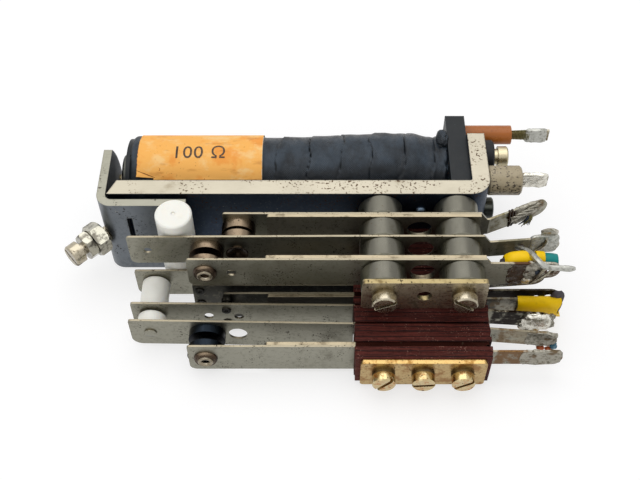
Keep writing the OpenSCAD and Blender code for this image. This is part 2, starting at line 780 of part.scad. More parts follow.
// Heel post: round-headed screw in the heel, with a neck on the black washer
module heel_post() color("#c9c1a4") from_heel() on_heel(post_y, post_z, 0) {
    translate([0, 0, fit - yoke_t]) cylinder(h = yoke_t + post_washer_t, d = screw_d);
    translate([0, 0, post_washer_t]) cylinder(h = post_neck_l + fit, d = post_neck_d);
    translate([0, 0, post_washer_t + post_neck_l]) cheese_head(post_head_d, post_head_h, slot_post);
}

// Coil tags: the two ends of the winding come out here
module coil_tags() color("#a9a79c") from_heel() {
    coil_tag(sleeve_y, sleeve_z, -yoke_t, coil_tag_reach, coil_tag_w);
    coil_tag(bush_y, bush_z, -yoke_t - bush_in, low_tag_reach, low_tag_w);
}

// One flat coil tag: a narrow stem in its sleeve or bush that widens to its square end
module coil_tag(y, z, x0, x1, w) leaf(-y - coil_tag_t / 2, coil_tag_t) polygon(
    [[x0, z - stem_w / 2], [bush_reach, z - stem_w / 2], [x1, z - w / 2],
    [x1, z + w / 2], [bush_reach, z + stem_w / 2], [x0, z + stem_w / 2]]);

// Coil tag sleeve: insulating tube over the upper tag
module coil_tag_sleeve() color("#b3622c") from_heel() on_heel(sleeve_y, sleeve_z, -yoke_t)
    tube(yoke_t + tag_sleeve_reach, tag_sleeve_d / 2, sleeve_bore_r);

// Coil tag bush: insulates the lower tag where it passes the heel
module coil_tag_bush() color("#8d8a80") from_heel() difference() {
    on_heel(bush_y, bush_z, 0) {
        turned(bush_reach, bush_d / 2, edge_r);
        translate([0, 0, -yoke_t - bush_in]) cylinder(h = yoke_t + bush_in + fit, d = spigot_d);
    }
    leaf(-bush_y - coil_tag_t / 2 - fit, coil_tag_t + 2 * fit)
        translate([-yoke_t - bush_in - over, bush_z - stem_w / 2 - fit])
            square([bush_reach + yoke_t + bush_in + 2 * over, stem_w + 2 * fit]);
}

// Heel screw: locks the coil against turning
module heel_screw() color("#303336") from_heel() on_heel(heel_screw_y, heel_screw_z, 0) {
    cheese_head(head_b_d, head_b_h, slot_heel);
    translate([0, 0, fit - yoke_t]) cylinder(h = yoke_t, d = screw_d);
}

// Retaining screw: stands in the knife edge and keeps the armature on it
module retaining_screw() color("#b5b1a6") from_heel() {
    on_retainer(-retainer_in) cylinder(h = retainer_in + retainer_head_at + fit, d = retainer_d);
    on_retainer(retainer_head_at) cheese_head(retainer_head_d, retainer_head_h, slot_retainer);
}

// Retaining nut: sets the armature's play on the knife edge
module retaining_nut() color("#c3beb0") from_heel()
    on_retainer(retainer_nut_at) hex_nut(retainer_nut_af, retainer_nut_t, retainer_d + 2 * fit);

// Lock nut on the retaining screw
module retaining_lock_nut() color("#b5b1a6") from_heel()
    on_retainer(lock_at) rotate(lock_turn) hex_nut(lock_nut_af, lock_nut_t, retainer_d + 2 * fit);

// Spacers: turned tubes between the springs of the upper pile
module spacers() color("#8d918c") from_heel()
    for (x = two_x(), d = [0, d_spacer_2, d_spacer_3, d_spacer_4]) on_face(x, pile_a_z, d) difference() {
        turned(spacer_h, spacer_d / 2, edge_r);
        translate([0, 0, -over]) cylinder(h = spacer_h + 2 * over, d = tube_d + 2 * fit);
    }

// Screw tubes: keep the pile screws off the springs
module screw_tubes() color("#6b2f22") from_heel() {
    for (x = two_x()) on_face(x, pile_a_z, 0) tube(d_plate_a, tube_d / 2, screw_d / 2 + fit);
    for (x = three_x()) on_face(x, pile_b_z, 0) tube(d_plate_b, tube_d / 2, screw_d / 2 + fit);
}

// A clamp plate over a pile
module clamp_plate(d, z, l, w, r) leaf(d, plate_t) difference() {
    union() {
        translate([pile_x - l / 2 + r, z - w / 2]) square([l - 2 * r, w]);
        translate([pile_x - l / 2, z - w / 2 + r]) square([l, w - 2 * r]);
        for (sx = [-1, 1], sz = [-1, 1])
            translate([pile_x + sx * (l / 2 - r), z + sz * (w / 2 - r)]) circle(r);
    }
    row_holes(z, [for (x = three_x()) [x, screw_d + hole_play]]);
}

// Upper clamp plate, with a spare hole at its middle
module clamp_plate_a() color("#a8a394") from_heel()
    clamp_plate(d_plate_a, pile_a_z, plate_a_l, plate_a_w, plate_corner);

// Lower clamp plate
module clamp_plate_b() color("#a98c4e") from_heel()
    clamp_plate(d_plate_b, pile_b_z, plate_b_l, plate_b_w, plate_corner);

// A pile screw from its head's seat down into the yoke
module pile_screw(x, z, seat, head_d, head_h, turn) on_face(x, z, seat) {
    cheese_head(head_d, head_h, turn);
    translate([0, 0, screw_short - seat - yoke_t])
        cylinder(h = seat + yoke_t - screw_short + fit, d = screw_d);
}

// Screws of the upper pile
module screws_a() color("#b8b2a2") from_heel() for (i = [0, 1])
    pile_screw(two_x()[i], pile_a_z, d_plate_a + plate_t + washer_t, head_a_d, head_a_h, slots_a[i]);

// Screws of the lower pile
module screws_b() color("#b99a55") from_heel() for (i = [0 : 2])
    pile_screw(three_x()[i], pile_b_z, d_plate_b + plate_t + washer_t, head_b_d, head_b_h, slots_b[i]);

// Lock washers under the heads of both piles
module lock_washers() color("#8c887c") from_heel() {
    for (x = two_x())
        on_face(x, pile_a_z, d_plate_a + plate_t) lock_washer(screw_d + hole_play, head_a_d);
    for (x = three_x())
        on_face(x, pile_b_z, d_plate_b + plate_t) lock_washer(screw_d + hole_play, head_b_d);
}

// First spring of the upper pile: short and fixed
module spring_a1() color("#9b9a8a") from_heel()
    spring(short_end_x, d_a1, pile_a_z, pile_a_holes(), [[short_x, rivet_hole_d]], tag_reach, bend_a1);
module contact_a1() color("#6e4c36") from_heel()
    on_face(short_x, pile_a_z, d_a1 + spring_t) contact(h_a12, button_d, rivet_hole_d, rivet_d, rivet_h);
module stiffener_a1() color("#a9a898") from_heel()
    stiffener(d_stiff_a1, pile_a_z, pile_a_holes(), pile_x + plate_a_l / 2);

// Second spring of the upper pile: long, pushed by the rod
module tag_a2() color("#9b9a8a") from_heel()
    tail(root_a, d_a2, pile_a_z, pile_a_holes(), tag_reach, bend_a2);
module spring_a2() color("#9b9a8a") from_heel() blade(root_a, d_a2, pile_a_z, lean_out, corner_upper,
    [[stud_x - spare_shift, stud_hole_d], [mid_x, rivet_hole_d], [short_x, rivet_hole_d]]);
module contacts_a2() color("#6e4c36") from_heel() leaning(root_a, d_a2, lean_out) {
    on_face(mid_x, pile_a_z, d_a2 + spring_t) contact(h_a23, button_d, rivet_hole_d, rivet_d, rivet_h);
    on_face(short_x, pile_a_z, d_a2, -1) {
        contact(h_a12, button_d, rivet_hole_d, cup_neck_d, cup_h);
        translate([0, 0, -spring_t - cup_h - cup_flare]) difference() {
            cylinder(h = cup_flare + fit, d1 = cup_d, d2 = cup_neck_d);
            translate([0, 0, -fit]) cylinder(h = cup_flare, d1 = cup_d - cup_lip, d2 = cup_bore_d);
        }
    }
}

// Third spring of the upper pile: fixed, its tag as wide as the spring at the root
module spring_a3() color("#9b9a8a") from_heel() {
    tag_low = pile_a_z + a3_tag_up - tag_w / 2;
    root_x = tag_bend_x - neck_l - shoulder_l;
    spring(mid_end_x, d_a3, pile_a_z, pile_a_holes(),
        [[mid_x, rivet_hole_d], [short_x - over, rivet_hole_d]], long_tag_reach, 0, a3_tag_up);
    leaf(d_a3, spring_t) polygon([[root_x, pile_a_z - spring_w / 2], [0, pile_a_z - spring_w / 2],
        [long_tag_reach - tag_w / 2, tag_low], [long_tag_reach - tag_w / 2, tag_low + a3_skirt_over],
        [root_x, tag_low + a3_skirt_over]]);
}
module contact_a3() color("#6e4c36") from_heel()
    on_face(mid_x, pile_a_z, d_a3, -1) contact(h_a23, button_d, rivet_hole_d, heavy_rivet_d, heavy_rivet_h);
module stiffener_a3() color("#a9a898") from_heel()
    stiffener(d_stiff_a3, pile_a_z, pile_a_holes(), pile_x + plate_a_l / 2);

// Laminate sheets between two depths of the lower pile, with slightly uneven ends
module sheet_block(d0, d1) {
    n = max(1, round((d1 - d0) / sheet_t));
    step = (d1 - d0) / n;
    for (i = [0 : n - 1]) leaf(d0 + i * step, step) difference() {
        uneven = sheet_ragged * (sin(ragged_turn * (d0 + i)) - 1) / 2;
        translate([pile_x - pile_b_l / 2 - uneven, pile_b_z - pile_b_w / 2 - uneven / 2])
            square([pile_b_l + 2 * uneven, pile_b_w + uneven]);
        row_holes(pile_b_z, tube_holes(three_x()));
    }
}

// Laminate sheets: every insulator of the lower pile
module laminate_sheets() color("#4f241d") from_heel() {
    sheet_block(0, d_b1);
    sheet_block(d_b1 + spring_t, d_b2);
    sheet_block(d_b2 + spring_t, d_b3);
    sheet_block(d_stiff_b3 + stiffener_t, d_b4);
    sheet_block(d_b4 + spring_t, d_b5);
    sheet_block(d_b5 + spring_t, d_stiff_b6);
    sheet_block(d_b6 + spring_t, d_plate_b);
}

// First spring of the lower pile: long, pushed by the rod
module tag_b1() color("#9b9a8a") from_heel()
    tail(root_b, d_b1, pile_b_z, pile_b_holes(), low_spring_reach, bend_b1);
module spring_b1() color("#9b9a8a") from_heel() difference() {
    blade(root_b, d_b1, pile_b_z, lean_out, corner_lower, []);
    leaning(root_b, d_b1, lean_out) leaf(d_b1 - over, spring_t + 2 * over) twin_cuts(near_x, pile_b_z);
}
module contacts_b1() color("#b4ada0") from_heel() leaning(root_b, d_b1, lean_out)
    twins(near_x, pile_b_z, d_b1 + spring_t, 1, h_b12);

// Second spring of the lower pile: fixed, meets the first one
module spring_b2() color("#9b9a8a") from_heel() difference() {
    spring(mid_end_x, d_b2, pile_b_z, pile_b_holes(), [], long_tag_reach, 0);
    leaf(d_b2 - over, spring_t + 2 * over) twin_cuts(near_x, pile_b_z);
}
module contacts_b2() color("#b4ada0") from_heel() twins(near_x, pile_b_z, d_b2, -1, h_b12);

// Third spring of the lower pile: short and fixed, rests against the fourth
module spring_b3() color("#9b9a8a") from_heel() difference() {
    spring(short_end_x, d_b3, pile_b_z, pile_b_holes(), [], long_tag_reach, 0);
    leaf(d_b3 - over, spring_t + 2 * over) twin_cuts(far_x, pile_b_z);
}
module contacts_b3() color("#b4ada0") from_heel() twins(far_x, pile_b_z, d_b3 + spring_t, 1, h_b34);
module stiffener_b3() color("#a9a898") from_heel()
    stiffener(d_stiff_b3, pile_b_z, pile_b_holes(), pile_x + pile_b_l / 2 - stiffener_short);

// Fourth spring of the lower pile: long, lifted by its own stud
module tag_b4() color("#9b9a8a") from_heel()
    tail(root_b, d_b4, pile_b_z, pile_b_holes(), low_spring_reach, bend_b4);
module spring_b4() color("#9b9a8a") from_heel() difference() {
    blade(root_b, d_b4, pile_b_z, -lean_b4, corner_lower,
        [[stud_x, stud_hole_d], [mid_x, rivet_hole_d], [short_x, rivet_hole_d]]);
    leaning(root_b, d_b4, -lean_b4) leaf(d_b4 - over, spring_t + 2 * over) twin_cuts(far_x, pile_b_z);
}
module contacts_b4() color("#b4ada0") from_heel() leaning(root_b, d_b4, -lean_b4)
    twins(far_x, pile_b_z, d_b4, -1, h_b34);

// A nylon lifting stud on the back of a spring, its spigot riveted through the hole
module lifting_stud(d, l) on_face(stud_x, pile_b_z, d, -1) {
    turned(l, stud_d / 2, stud_chamfer);
    translate([0, 0, -spring_t - fit]) cylinder(h = spring_t + 2 * fit, d = stud_hole_d - 2 * fit);
    translate([0, 0, -spring_t - stud_rivet_h])
        cylinder(h = stud_rivet_h, d = stud_hole_d + stud_rivet_over);
}
module stud_b4() color("#ecece6") from_heel() leaning(root_b, d_b4, -lean_b4) lifting_stud(d_b4, stud_b4_l);

// Fifth spring of the lower pile: long, lifted by the fourth through a second stud
module tag_b5() color("#9b9a8a") from_heel()
    tail(root_b, d_b5, pile_b_z, pile_b_holes(), low_spring_reach, bend_b5);
module spring_b5() color("#9b9a8a") from_heel() blade(root_b, d_b5, pile_b_z, -lean_b5, corner_lower,
    [[stud_x, stud_hole_d], [mid_x, rivet_hole_d], [short_x, spare_rivet_hole_d]]);
module contact_b5() color("#1c1c1f") from_heel() leaning(root_b, d_b5, -lean_b5)
    on_face(mid_x, pile_b_z, d_b5 + spring_t)
        contact(h_b56, black_button_d, rivet_hole_d, rivet_d, rivet_h);
module stud_b5() color("#ecece6") from_heel() leaning(root_b, d_b5, -lean_b5) lifting_stud(d_b5, stud_b5_l);

// Sixth spring of the lower pile: fixed, meets the fifth
module spring_b6() color("#9b9a8a") from_heel()
    spring(mid_end_x, d_b6, pile_b_z, pile_b_holes(), [[mid_x, rivet_hole_d]], tag_reach, 0);
module contact_b6() color("#1c1c1f") from_heel()
    on_face(mid_x, pile_b_z, d_b6, -1)
        contact(h_b56, black_button_d, rivet_hole_d, heavy_rivet_d, heavy_rivet_h);
module stiffener_b6() color("#a9a898") from_heel()
    stiffener(d_stiff_b6, pile_b_z, pile_b_holes(), pile_x + pile_b_l / 2 - stiffener_short);

// A flat insulating sleeve, drawn in Y and Z about a tag at depth d
module flat_sleeve(x0, x1, d, z) translate([x0, -d - spring_t / 2, z]) rotate([90, 0, 90])
    linear_extrude(x1 - x0) difference() {
        w = tag_w + flat_sleeve_over - flat_sleeve_t;
        union() {
            translate([-flat_sleeve_t / 2, -w / 2]) square([flat_sleeve_t, w]);
            for (s = [-1, 1]) translate([0, s * w / 2]) circle(d = flat_sleeve_t);
        }
        translate([-spring_t / 2 - fit, -tag_w / 2 - fit]) square([spring_t + 2 * fit, tag_w + 2 * fit]);
    }

// Wire sleeves: one slipped over a tag, two on the wire end behind the longest tag
module wire_sleeves() color("#d9b81a") from_heel() {
    flat_sleeve(flat_sleeve_x, long_tag_reach - over, d_b3, pile_b_z);
    translate([sleeve_x, sleeve_behind - d_a3, pile_a_z + sleeve_up]) rotate([0, 90, 0]) {
        tube(sleeve_l, sleeve_r, core_wire_r + fit);
        translate([0, 0, sleeve_l + fit]) tube(second_sleeve_l, sleeve_r - fit, core_wire_r + fit);
    }
}

// A round wire swept through chosen points with one ring of faces at each
function unit(v) = v / norm(v);
function wire_ring(p, along, r) = let (u = unit(cross(along, [0, 0.3, 1])), v = cross(along, u))
    [for (k = [0 : wire_sides - 1]) let (a = 360 * k / wire_sides) p + r * (cos(a) * u + sin(a) * v)];
module wire(points, r) {
    n = len(points);
    rings = [for (i = [0 : n - 1])
        wire_ring(points[i], unit(points[min(i + 1, n - 1)] - points[max(i - 1, 0)]), r)];
    polyhedron([for (ring = rings) each ring], concat(
        [[for (k = [0 : wire_sides - 1]) k]],
        [for (i = [0 : n - 2], k = [0 : wire_sides - 1]) let (a = i * wire_sides, j = (k + 1) % wire_sides)
            [a + k, a + wire_sides + k, a + wire_sides + j, a + j]],
        [[for (k = [wire_sides - 1 : -1 : 0]) (n - 1) * wire_sides + k]]));
}

// Wire ends: what is left of the wires that were cut off at the tags
module wire_ends() color("#c9c4b6") from_heel() {
    front = -d_a3 - spring_t - bare_r - fit;
    sleeved_l = sleeve_l + second_sleeve_l + hole_play;
    wire([for (x = [sleeve_x - hole_play, sleeve_x + sleeved_l / 2, sleeve_x + sleeved_l])
        [x, sleeve_behind - d_a3, pile_a_z + sleeve_up]], core_wire_r);
    wire([for (p = bare_path) [p[0], front - p[1], pile_a_z + p[2]]], bare_r);
}

// A lump of solder on the front of a tag, given as its place, height, ball radius and rise
module solder_lump(lump, d, z) on_face(lump[0], z + lump[1], d) intersection() {
    translate([0, 0, lump[3] - lump[2]]) sphere(r = lump[2]);
    cylinder(h = lump[3] + over, r = lump[2] + over);
}

// Solder: the lumps left on the tags
module solder() color("#cfccc4") from_heel() {
    on_tag(d_a1, bend_a1) solder_lump(lump_a1, d_a1 + spring_t, pile_a_z);
    solder_lump(lump_a3, d_a3 + spring_t, pile_a_z);
    on_tag(d_b4, bend_b4) solder_lump(lump_b4, d_b4 + spring_t, pile_b_z);
    solder_lump(lump_b6, d_b6 + spring_t, pile_b_z);
}

// Armature: bell crank whose leg faces the pole and whose arm lies along the yoke
module armature() color("#7c818c") from_heel() {
    leg_out_x = leg_in_x - arm_t;
    bend_out = arm_bend + arm_t;
    leg_top = core_y + leg_over;
    arc = arc_r(yoke_w, leg_drop);
    difference() {
        intersection() {
            translate([0, 0, arm_inset]) linear_extrude(yoke_w - 2 * arm_inset) difference() {
                union() {
                    translate([leg_out_x, bend_out - arm_front])
                        square([arm_t, leg_top - bend_out + arm_front]);
                    translate([leg_out_x + bend_out, -arm_front])
                        square([arm_end_x - leg_out_x - bend_out, arm_t]);
                    translate([leg_out_x + bend_out, bend_out - arm_front])
                        mirror([1, 0]) quarter_ring(bend_out, arm_bend);
                }
                translate([arm_end_x, -arm_front]) rotate(45) square(crease_w, center = true);
            }
            translate([leg_out_x - over, leg_top - arc, mid_z]) rotate([0, 90, 0])
                cylinder(h = arm_end_x - leg_out_x + 2 * over, r = arc, $fn = 2 * fine);
        }
        translate([knife_x + slot_reach - slot_w / 2, -arm_front - over, mid_z - slot_l / 2])
            cube([slot_w, arm_t + 2 * over, slot_l]);
        on_retainer(-retainer_hole_d) cylinder(h = 2 * retainer_hole_d + arm_t, d = retainer_hole_d);
        for (z = rivet_z()) on_face(rod_x, z, arm_gap - over)
            cylinder(h = arm_t + 2 * over, d = rod_rivet_d + 2 * fit);
        on_core(leg_out_x - over) cylinder(h = arm_t + 2 * over, d = residual_d + 2 * fit);
    }
}

// Heights of the two rivets that hold the rod
function rivet_z() = [for (share = [0.22, 0.72]) rod_rise + rod_l * share];

// Actuator rod: nylon, seated on a flat, with the mark of its moulding gate on top
module actuator_rod() color("#f1f1ec") from_heel() difference() {
    translate([rod_x, -rod_depth, rod_rise]) turned(rod_l, rod_r, rod_chamfer);
    translate([rod_x - rod_r, -arm_front, 0]) cube([2 * rod_r, rod_r, yoke_w + rod_l]);
    translate([rod_x, -rod_depth, rod_rise + rod_l - gate_h]) cylinder(h = over, d = gate_d);
    for (z = rivet_z()) on_face(rod_x, z, arm_front - over)
        cylinder(h = rivet_in_rod + hole_play + over, d = rod_rivet_d + 2 * fit);
}

// Rod rivets: from the arm's inner face into the rod
module rod_rivets() color("#8c8878") from_heel() for (z = rivet_z()) on_face(rod_x, z, arm_gap) {
    cylinder(h = arm_t + rivet_in_rod, d = rod_rivet_d);
    translate([0, 0, -rod_rivet_head_h])
        cylinder(h = rod_rivet_head_h, d = rod_rivet_d * rod_rivet_head_share);
}

// Residual stud: keeps the leg off the pole face
module residual_stud() color("#b99a55") from_heel()
    on_core(leg_in_x - arm_t) cylinder(h = arm_t + residual_h, d = residual_d);

yoke();
core();
front_cheek();
rear_cheek();
winding();
coil_tape();
resistance_label();
heel_washer();
heel_post();
coil_tags();
coil_tag_sleeve();
coil_tag_bush();
heel_screw();
retaining_screw();
retaining_nut();
retaining_lock_nut();
spacers();
screw_tubes();
clamp_plate_a();
screws_a();
lock_washers();
spring_a1();
contact_a1();
stiffener_a1();
tag_a2();
spring_a3();
contact_a3();
stiffener_a3();
laminate_sheets();
clamp_plate_b();
screws_b();
tag_b1();
spring_b2();
contacts_b2();
spring_b3();
contacts_b3();
stiffener_b3();
tag_b4();
tag_b5();
spring_b6();
contact_b6();
stiffener_b6();
wire_sleeves();
wire_ends();
solder();
armature();
actuator_rod();
rod_rivets();
residual_stud();
spring_a2();
contacts_a2();
spring_b1();
contacts_b1();
spring_b4();
contacts_b4();
stud_b4();
spring_b5();
contact_b5();
stud_b5();
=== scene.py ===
"""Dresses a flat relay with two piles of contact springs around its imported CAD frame.

Lengths are in millimetres unless a comment says otherwise. Places are counted from the heel's outer face, the
yoke's front face and the yoke's lower edge, and Workshop.piece turns them to the frame's metres.
"""

import json
import logging
import math
from collections.abc import Iterable, Sequence
from dataclasses import asdict, dataclass, field, replace
from enum import Enum

import bmesh
import bpy
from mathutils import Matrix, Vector, noise


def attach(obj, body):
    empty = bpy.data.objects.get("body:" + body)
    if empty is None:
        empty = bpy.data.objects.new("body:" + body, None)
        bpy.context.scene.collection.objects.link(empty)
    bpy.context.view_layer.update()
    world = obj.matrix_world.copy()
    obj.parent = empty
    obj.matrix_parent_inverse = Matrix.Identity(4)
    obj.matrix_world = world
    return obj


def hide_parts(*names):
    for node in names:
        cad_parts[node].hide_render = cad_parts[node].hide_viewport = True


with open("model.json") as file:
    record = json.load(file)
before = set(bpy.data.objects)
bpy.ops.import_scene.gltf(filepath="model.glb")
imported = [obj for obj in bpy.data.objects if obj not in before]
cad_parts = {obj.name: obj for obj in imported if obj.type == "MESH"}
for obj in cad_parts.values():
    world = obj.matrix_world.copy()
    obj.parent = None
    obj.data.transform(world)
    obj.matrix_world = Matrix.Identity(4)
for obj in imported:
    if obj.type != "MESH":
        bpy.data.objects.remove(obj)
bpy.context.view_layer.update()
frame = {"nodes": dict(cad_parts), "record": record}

MM = 0.001
# Vector noise starts from this instead of the clock, so that solder and threads are the same each run
NOISE_SEED = 1
# Corners of one mesh that are nearer than this, in millimetres, become one
SEAM = 1e-4
UP = Vector((0, 0, 1))
# The heel's outer face, the yoke's front face and the yoke's lower edge in the part's frame
HEEL = Vector((40.3033, 6.825, 0.0))
LOG = logging.getLogger("relay")
Point = tuple[float, float, float]
Rgba = tuple[float, float, float, float]
Socket = bpy.types.NodeSocket
Shape = bmesh.types.BMesh


class Body(str, Enum):
    """The bodies of the relay that carry pieces of the scene."""

    FRAME = "frame"
    BLADE_B5 = "blade_b5"


def linear(colour: str) -> Rgba:
    """Turns an sRGB colour into the linear one that shaders use.

    Args:
        colour: six hex digits, with or without a leading #.

    Returns:
        The linear red, green, blue and an alpha of 1.
    """
    digits = colour.lstrip("#")
    parts = [int(digits[i : i + 2], 16) / 255 for i in (0, 2, 4)]
    red, green, blue = (c / 12.92 if c <= 0.04045 else ((c + 0.055) / 1.055) ** 2.4 for c in parts)
    return red, green, blue, 1.0


def per_mm(size: float) -> float:
    """The texture scale at which one feature of a pattern is size millimetres wide."""
    return 1 / (size * MM)


def add(
    tree: bpy.types.NodeTree,
    kind: str,
    settings: dict[str, object] | None = None,
    inputs: dict[str | int, object] | None = None,
) -> bpy.types.Node:
    """Adds a node with its settings and links.

    Args:
        tree: the node tree that gets it.
        kind: the node's type without its ShaderNode prefix.
        settings: the node's own properties.
        inputs: a value, or another node's output socket, for each named or numbered input.

    Returns:
        The new node.
    """
    node = tree.nodes.new("ShaderNode" + kind)
    for name, value in (settings or {}).items():
        setattr(node, name, value)
    for name, value in (inputs or {}).items():
        socket = node.inputs[name]
        if isinstance(value, Socket):
            tree.links.new(value, socket)
        else:
            socket.default_value = value
    return node


def blank(owner: bpy.types.Material | bpy.types.World) -> bpy.types.NodeTree:
    """Empties the node tree of a material or world and returns it.

    Args:
        owner: the material or world.

    Returns:
        Its empty node tree.
    """
    owner.use_nodes = True
    owner.node_tree.nodes.clear()
    return owner.node_tree


class Kind(Enum):
    """The kinds of node that the finishes use: type, settings, inputs in the order given, and output."""

    TIMES = ("Math", {"operation": "MULTIPLY"}, (0, 1), 0)
    PLUS = ("Math", {"operation": "ADD"}, (0, 1), 0)
    LESS = ("Math", {"operation": "SUBTRACT"}, (0, 1), 0)
    LARGER = ("Math", {"operation": "MAXIMUM"}, (0, 1), 0)
    ANGLE = ("Math", {"operation": "ARCTAN2"}, (0, 1), 0)
    SINE = ("Math", {"operation": "SINE"}, (0,), 0)
    SIZE = ("Math", {"operation": "ABSOLUTE"}, (0,), 0)
    LENGTH = ("VectorMath", {"operation": "LENGTH"}, (0,), "Value")
    ALIKE = ("VectorMath", {"operation": "DOT_PRODUCT"}, (0, 1), "Value")
    ALONG = ("SeparateXYZ", {}, (0,), "X")
    ACROSS = ("SeparateXYZ", {}, (0,), "Y")
    UP = ("SeparateXYZ", {}, (0,), "Z")
    RAMP = ("MapRange", {"interpolation_type": "SMOOTHSTEP"}, ("Value", "From Min", "From Max", "To Max"), 0)
    RANGE = ("MapRange", {}, ("Value", "From Min", "From Max", "To Min", "To Max"), 0)
    PLACE = ("Mapping", {}, ("Vector", "Location", "Scale"), 0)
    NOISE = ("TexNoise", {}, ("Vector", "Scale", "Detail", "Roughness"), "Fac")
    MIX = ("Mix", {"data_type": "RGBA"}, (6, 7, 0), 2)
    SOFTEN = ("Bevel", {"samples": 4}, ("Radius",), 0)
    RELIEF = ("Bump", {}, ("Height", "Distance", "Normal"), 0)


@dataclass
class Canvas:
    """One material's node tree while a finish fills it."""

    tree: bpy.types.NodeTree
    coords: Socket
    normal: Socket

    @classmethod
    def of(cls, tree: bpy.types.NodeTree) -> "Canvas":
        """Starts a canvas on an empty tree with the piece's own coordinates and normals."""
        return cls(tree, add(tree, "TexCoord").outputs["Object"], add(tree, "NewGeometry").outputs["Normal"])

    def put(self, kind: Kind, *values: object) -> Socket:
        """Adds one node.

        Args:
            kind: what it does.
            values: a value or another node's output for each of the kind's inputs; the last may be left out.

        Returns:
            Its output.
        """
        name, settings, inputs, output = kind.value
        return add(self.tree, name, settings, dict(zip(inputs, values))).outputs[output]

    def clouds(
        self,
        size: float,
        detail: float = 3.0,
        rough: float = 0.55,
        stretch: Point = (1, 1, 1),
        shift: float = 0.0,
    ) -> Socket:
        """Cloudy pattern on the piece.

        Args:
            size: width of one cloud in millimetres.
            detail: octaves of finer clouds.
            rough: strength of the finer clouds.
            stretch: a number under 1 draws the clouds out along that axis.
            shift: moves the pattern, so that two of one size differ.

        Returns:
            The pattern's value, about 0.5 on average.
        """
        place = self.put(Kind.PLACE, self.coords, (shift, shift, -shift), stretch)
        return self.put(Kind.NOISE, place, per_mm(size), detail, rough)

    def specks(self, size: float, share: float, bed: float, shift: float = 0.0) -> Socket:
        """Small spots that gather in some places and leave others clean.

        Args:
            size: width of a spot in millimetres.
            share: how many there are, from 0 to 1.
            bed: width in millimetres of the patches where they gather.
            shift: moves the pattern.

        Returns:
            1 in a spot, else 0.
        """
        low = 0.72 - 0.17 * share
        spots = self.put(Kind.RAMP, self.clouds(size, 2, 0.5, shift=shift), low, low + 0.04)
        beds = self.clouds(bed, 3, 0.6, shift=shift + 0.05)
        beds = self.put(Kind.RAMP, beds, 0.56 - 0.14 * share, 0.66 - 0.12 * share)
        return self.put(Kind.TIMES, spots, beds)

    def facing_up(self) -> Socket:
        """1 on faces that look up or down, where a strip shows its sheared edge, else 0."""
        return self.put(Kind.RAMP, self.put(Kind.SIZE, self.put(Kind.UP, self.normal)), 0.6, 0.9)

    def past(self, start: float, spread: float, wander: float) -> Socket:
        """0 towards the armature and 1 towards the tags, with a wandering border.

        Args:
            start: the border's place from the heel, in millimetres.
            spread: width of the change, in millimetres.
            wander: how far the border wanders, in millimetres.

        Returns:
            The share.
        """
        along = self.put(Kind.ALONG, self.coords)
        moved = self.put(Kind.TIMES, self.clouds(2.2, 4, 0.6, shift=0.07), wander * MM)
        border = (HEEL.x + start + wander / 2) * MM
        return self.put(Kind.RAMP, self.put(Kind.PLUS, along, moved), border, border + spread * MM)

    def rounded(self, radius: float) -> tuple[Socket, Socket]:
        """Rounds sharp edges in the shading.

        Args:
            radius: width of the rounding in millimetres.

        Returns:
            The rounded normal, and 1 at an edge falling to 0 away from it.
        """
        soft = self.put(Kind.SOFTEN, radius * MM)
        return soft, self.put(Kind.RAMP, self.put(Kind.ALIKE, soft, self.normal), 0.995, 0.8)


@dataclass(frozen=True)
class Finish:
    """A surface finish that becomes one procedural material."""

    name: str

    def make(self) -> bpy.types.Material:
        """Builds and returns the material.

        Returns:
            The material.
        """
        material = bpy.data.materials.new(self.name)
        tree = blank(material)
        shader = add(tree, "BsdfPrincipled", None, self.dress(Canvas.of(tree)))
        add(tree, "OutputMaterial", None, {"Surface": shader.outputs[0]})
        return material

    def dress(self, canvas: Canvas) -> dict[str, object]:
        """Returns a value or pattern for each of the shader's inputs that the finish sets."""
        raise NotImplementedError


